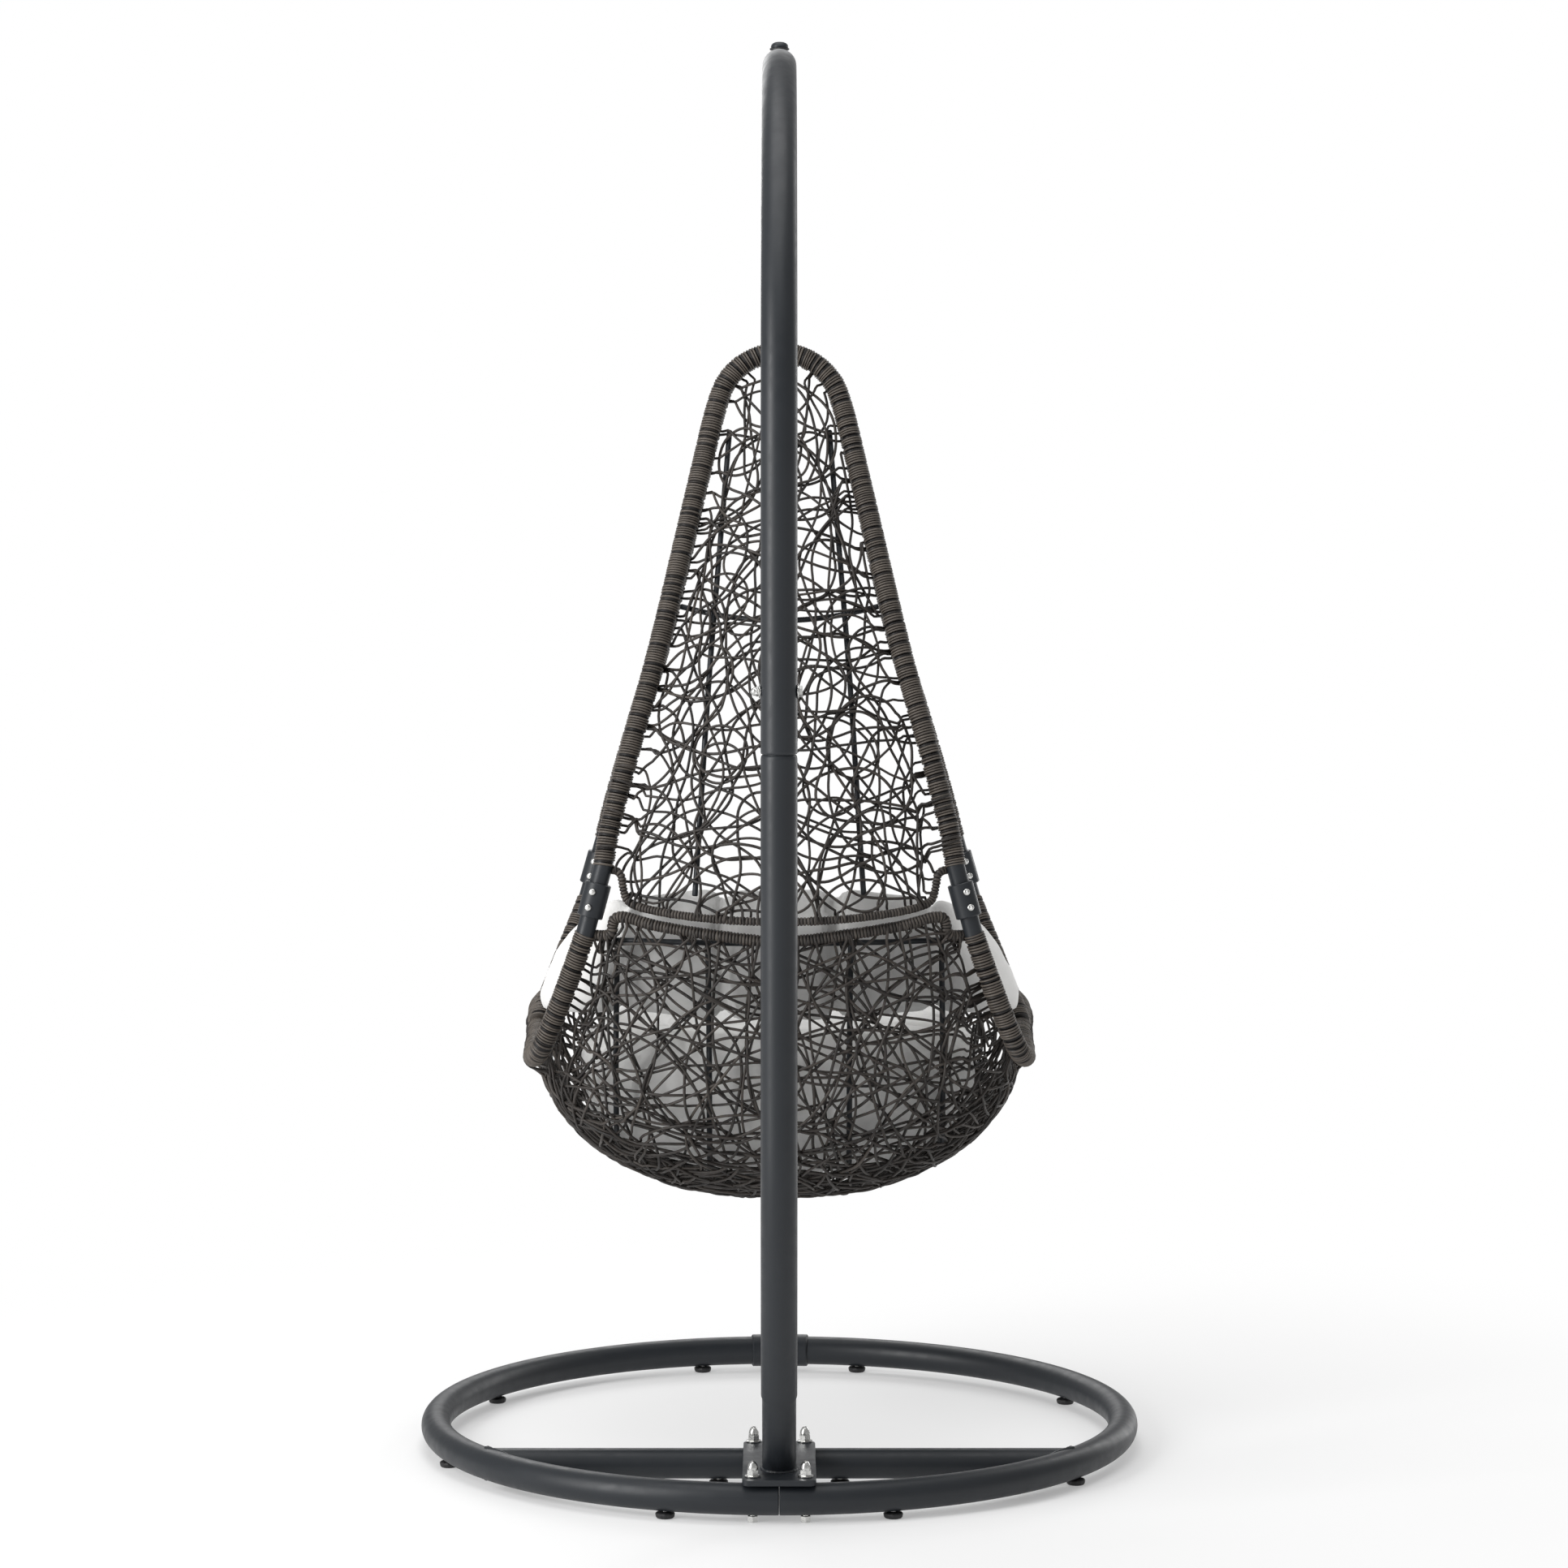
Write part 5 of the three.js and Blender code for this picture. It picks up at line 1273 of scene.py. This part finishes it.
def back_ribs():
    """Two rods down the back and one across it, inside the weave."""
    inset = WEAVE_THICKNESS + RIB_RADIUS + 1.8
    shape = Shape()
    for side in (1, -1):
        down = np.linspace(0.2, 0.97, 48)
        x = side * (71 + 45 * (down - 0.2) / 0.77)
        at = back_point(x / back_edge(down)[:, 0], down)
        at[:, 1] -= inset
        shape.tube(at, RIB_RADIUS, 14, bevel=1.0)
    height = 0.53  # of the rod across, as a share of the way down
    down = np.full(41, height)
    across = np.linspace(-1, 1, 41)
    reach = back_edge(height)[0] + 1
    at = back_point(across * reach / back_edge(down)[:, 0], down)
    at[:, 1] -= inset
    at[:, 1] = np.maximum(at[:, 1], back_edge(height)[1] - 4)
    at[:, 2] -= 18 * (1 - across**2)
    shape.tube(at, RIB_RADIUS, 14, bevel=1.0)
    shape.make("back_ribs", "chair", PAINT, "back_rib_frame", sharp=50)


def bowl_ribs():
    """Four rods under the seat, and one along the bowl's back."""
    shape = Shape()
    inset = WEAVE_THICKNESS + 16
    for side in (1, -1):
        for x in (105, 275):
            back_turn = side * (np.pi - math.atan2(x, 320))
            front_turn = side * math.atan2(x, 340)
            wall = [bowl_at(back_turn, z, inset) for z in (748, 690, 630, SHOULDER_Z + 4)]
            back = bowl_at(back_turn, SHOULDER_Z, inset)
            front = bowl_at(front_turn, SHOULDER_Z, inset)
            share = np.array([0.04, 0.14, 0.28, 0.42, 0.56, 0.7, 0.84, 0.95])
            x_along = back[0] + (front[0] - back[0]) * share
            y_along = back[1] + (front[1] - back[1]) * share
            floor = bowl_floor(x_along, y_along, inset)
            tip = bowl_at(front_turn, SHOULDER_Z + 10, inset)
            path = smooth_curve(np.vstack([wall, floor, tip]), per_span=8)
            shape.tube(spaced(path, 12), RIB_RADIUS, 12, bevel=1.0)
    turn = np.pi + 0.7 * np.linspace(-1, 1, 50)
    shape.tube(bowl_at(turn, 745, inset), RIB_RADIUS, 12, bevel=1.0)
    shape.make("bowl_ribs", "chair", PAINT, "bowl_rib_frame", sharp=50)


hoops()
lower_rim()
frame_joints()
back_weave()
bowl_weave()
edge_bars()
back_ribs()
bowl_ribs()


# ---- Cushions ----

SHRINK = 10.0  # the cushions start this much inside their CAD shapes, and swell back out
BOLSTER_PATH = spaced(smooth_curve(over_the_top(np.add(BOLSTER_LINE, [0, 0, BOLSTER_Z]))), 4.0)
PINCHES = [0.12, 0.27, 0.42, 0.58, 0.73, 0.88]
SEAM_RADIUS = 165  # of the seat's ring seam
CLOTH_FRAMES = 20


def seat_pad_mesh():
    shape = Shape()
    rings = []
    bottom = BOWL_BOTTOM[2] + SEAT_CLEARANCE + 6
    turn = np.linspace(-np.pi, np.pi, 96, endpoint=False)
    for v in np.linspace(0.02, 0.5, 20):
        z = bottom + (SEAT_EDGE_Z - bottom) * (1 - math.cos(math.pi * v))
        rings.append(bowl_at(turn, z, SEAT_CLEARANCE + SHRINK))
    rim = bowl_at(turn, SEAT_EDGE_Z, SEAT_CLEARANCE + SHRINK)
    for share in np.linspace(1, 0.02, 16)[1:]:
        ring = BOWL_BOTTOM + (rim - BOWL_BOTTOM) * share
        ring[:, 2] = SEAT_EDGE_Z + 34 * (1 - share**8) - 22 * (1 - share**2)
        rings.append(ring)
    shape.loft(np.array(rings))
    return shape.make("seat_pad", None, CLOTH, "seat_cushion")


def bolster_mesh():
    shape = Shape()
    total = distances(BOLSTER_PATH)[-1]
    v = np.linspace(0.004, 0.996, 120)
    at = along(BOLSTER_PATH, v * total)
    after, before = np.minimum(v * total + 4, total), v * total - 4
    t = unit(along(BOLSTER_PATH, after) - along(BOLSTER_PATH, before))
    sideways = unit(np.stack([t[:, 1], -t[:, 0], 0 * t[:, 0]], axis=-1))
    away = np.abs(2 * v - 1)
    taper = np.sin(np.pi * np.minimum(0.5, 7 * np.minimum(v, 1 - v))) ** 0.5
    lean = 38 * smoothstep(away, 0.4, 0.75)
    turn = even_turn(48)
    out = (45 - SHRINK) * np.cos(turn)[None] - lean[:, None] * np.sin(turn)[None]
    up = ((102 - SHRINK) * (1 - 0.42 * away**1.5))[:, None] * np.sin(turn)[None]
    rings = at[:, None] + sideways[:, None] * (taper[:, None] * out)[:, :, None]
    rings[:, :, 2] += taper[:, None] * up
    shape.loft(rings)
    return shape.make("bolster", None, CLOTH, "bolster_cushion")


def coordinates(piece, kind="co"):
    found = np.empty(len(piece.data.vertices) * 3, np.float32)
    piece.data.vertices.foreach_get(kind, found)
    return found.reshape(-1, 3).astype(float)


def set_coordinates(piece, co):
    piece.data.vertices.foreach_set("co", np.asarray(co, np.float32).ravel())
    piece.data.update()


def apply_modifiers(piece):
    depsgraph = bpy.context.evaluated_depsgraph_get()
    mesh = bpy.data.meshes.new_from_object(piece.evaluated_get(depsgraph))
    piece.modifiers.clear()
    old = piece.data
    piece.data = mesh
    bpy.data.meshes.remove(old)


def remeshed(piece, voxel):
    modifier = piece.modifiers.new("Remesh", "REMESH")
    modifier.mode = "VOXEL"
    modifier.voxel_size = voxel / 1000
    apply_modifiers(piece)


def pinch_weights(piece):
    """For each point of the bolster: its place along it, its distance from a pinch, and its pull."""
    co = (coordinates(piece) - HANG) * 1000
    path, batch = BOLSTER_PATH, 4000
    total = distances(path)[-1]
    s = distances(path) / total
    nearest = np.empty(len(co))
    for first in range(0, len(co), batch):
        gap = ((co[first : first + batch, None, :2] - path[None, :, :2]) ** 2).sum(-1)
        nearest[first : first + batch] = s[gap.argmin(1)]
    away = np.min([np.abs(nearest - p) for p in PINCHES], axis=0) * total
    return nearest, away, np.exp(-((away / 13) ** 2))


def simulate(pieces, caps):
    """Inflates the cushions together under cloth pressure, and limits how far any point moves."""
    scene = bpy.context.scene
    scene.frame_start, scene.frame_end = 1, CLOTH_FRAMES
    before = []
    for piece, pins in pieces:
        before.append(coordinates(piece))
        cloth = piece.modifiers.new("Cloth", "CLOTH")
        settings = cloth.settings
        settings.quality = 3
        settings.mass = 0.25
        settings.tension_stiffness = settings.compression_stiffness = 12
        settings.shear_stiffness = 6
        settings.bending_stiffness = 0.4
        settings.use_pressure = True
        settings.uniform_pressure_force = 4
        settings.effector_weights.gravity = 0
        if pins is not None:
            group = piece.vertex_groups.new(name="pinch")
            for i in np.flatnonzero(pins > 0.05):
                group.add([int(i)], float(pins[i]), "REPLACE")
            settings.vertex_group_mass = "pinch"
        cloth.collision_settings.use_collision = False
        cloth.point_cache.frame_end = CLOTH_FRAMES
    for number in range(1, CLOTH_FRAMES + 1):
        scene.frame_set(number)
    for (piece, _), start, cap in zip(pieces, before, caps):
        apply_modifiers(piece)
        moved = coordinates(piece) - start
        size = np.linalg.norm(moved, axis=1, keepdims=True)
        kept = np.minimum(1, cap / 1000 / np.maximum(size, 1e-9))
        set_coordinates(piece, start + moved * kept)
    scene.frame_set(1)


def subdivided(piece):
    modifier = piece.modifiers.new("Subdivision", "SUBSURF")
    modifier.levels = modifier.render_levels = 1
    apply_modifiers(piece)


def crease_bolster(piece):
    """Draws the pinch lines in, with puckers running out from them, and ripples the cloth a little."""
    nearest, away, close = pinch_weights(piece)
    co = coordinates(piece)
    n = coordinates(piece, "normal")
    local = (co - HANG) * 1000
    fold = np.sin(local[:, 2] / 6.5 + 11 * nearest) * np.sin(local[:, 2] / 17.0 + 5 * nearest)
    pucker = 1.6 * np.exp(-((away / 30) ** 2)) * (1 - close) * fold
    broad = 2.2 * np.sin(local[:, 0] / 31 + 1.3) * np.sin(local[:, 2] / 26 + local[:, 1] / 37)
    set_coordinates(piece, co + n * ((pucker + broad - 13 * close)[:, None] / 1000))


def crease_seat(piece):
    """Sinks a ring seam and six spokes into the pad's top, with slack cloth between them."""
    co = coordinates(piece)
    n = coordinates(piece, "normal")
    local = (co - HANG) * 1000
    radius = np.hypot(local[:, 0], local[:, 1] - BOWL_BOTTOM[1])
    turn = np.arctan2(local[:, 0], BOWL_BOTTOM[1] - local[:, 1])
    ring = np.exp(-(((radius - SEAM_RADIUS) / 9) ** 2))
    spoke = np.exp(-((np.sin(3 * turn) * radius / 3 / 9) ** 2)) * (radius > SEAM_RADIUS)
    top = smoothstep(n[:, 2], 0.1, 0.5)
    seam = np.maximum(ring, spoke) * top
    slack = 1.8 * np.sin(local[:, 0] / 33 + 0.6) * np.sin(local[:, 1] / 27)
    near_edge = np.exp(-(((local[:, 2] - SEAT_EDGE_Z) / 26) ** 2))
    gathers = 1.2 * np.sin(turn * 46) * near_edge
    set_coordinates(piece, co + n * ((slack + gathers - 10 * seam)[:, None] / 1000))


def cushions():
    pad, roll = seat_pad_mesh(), bolster_mesh()
    remeshed(pad, 6.0)
    remeshed(roll, 5.5)
    _, _, close = pinch_weights(roll)
    simulate([(pad, None), (roll, close)], [16, 22])
    subdivided(pad)
    subdivided(roll)
    crease_bolster(roll)
    crease_seat(pad)
    for piece in (pad, roll):
        piece.data.shade_smooth()
        finished(piece, "chair", CLOTH)


cushions()


# ---- Stage, lights and camera ----

AMBIENT = 0.42  # how strongly the white surroundings light the chair
CAMERA_AT = (-0.0064, 6.365, 1.421)
CAMERA_LENS, CAMERA_SENSOR = 102.97, 36.0
CAMERA_SHIFT = -0.2148  # it looks level, as the photograph's verticals don't converge
FLOOR_REACH, FLOOR_GAP = 60, 0.0002
# Name, place, target, width and height, and power in watts.
LIGHTS = [
    ("key", (3.0, 2.3, 1.9), (0, 0, 1.0), (1.1, 3.2), 140),
    ("edge", (-2.2, -2.4, 1.5), (0, 0.4, 1.0), (0.4, 2.8), 25),
    ("top", (0.2, 0.4, 4.2), (0, 0, 0), (3.0, 3.0), 60),
    ("front", (0.6, -3.8, 2.6), (0, 0, 0.9), (2.2, 1.6), 45),
]


def stage():
    scene = bpy.context.scene
    reach, z = FLOOR_REACH, FLOOR_Z / 1000 + HANG[2] - FLOOR_GAP
    corners = [(-reach, -reach, z), (reach, -reach, z), (reach, reach, z), (-reach, reach, z)]
    mesh = bpy.data.meshes.new("floor")
    mesh.from_pydata(corners, [], [(0, 1, 2, 3)])
    floor = bpy.data.objects.new("floor", mesh)
    scene.collection.objects.link(floor)
    mesh.materials.append(floor_paint())

    world = bpy.data.worlds.new("studio")
    world.use_nodes = True
    nodes, links = world.node_tree.nodes, world.node_tree.links
    seen = nodes.new("ShaderNodeLightPath").outputs["Is Camera Ray"]
    strength = nodes.new("ShaderNodeMix")
    strength.inputs["A"].default_value, strength.inputs["B"].default_value = AMBIENT, 1.0
    links.new(seen, strength.inputs["Factor"])
    links.new(strength.outputs["Result"], nodes["Background"].inputs["Strength"])
    nodes["Background"].inputs["Color"].default_value = (1, 1, 1, 1)
    scene.world = world
    scene.view_settings.view_transform = "Standard"

    for name, at, target, size, watts in LIGHTS:
        data = bpy.data.lights.new(name, "AREA")
        data.shape, data.size, data.size_y, data.energy = "RECTANGLE", size[0], size[1], watts
        lamp = bpy.data.objects.new(name, data)
        lamp.location = at
        lamp.rotation_euler = (Vector(target) - Vector(at)).to_track_quat("-Z", "Y").to_euler()
        scene.collection.objects.link(lamp)

    lens = bpy.data.cameras.new("camera")
    lens.lens, lens.sensor_width, lens.shift_y = CAMERA_LENS, CAMERA_SENSOR, CAMERA_SHIFT
    camera = bpy.data.objects.new("camera", lens)
    camera.location = CAMERA_AT
    camera.rotation_euler = (math.pi / 2, 0, math.pi)
    scene.collection.objects.link(camera)
    scene.camera = camera


stage()
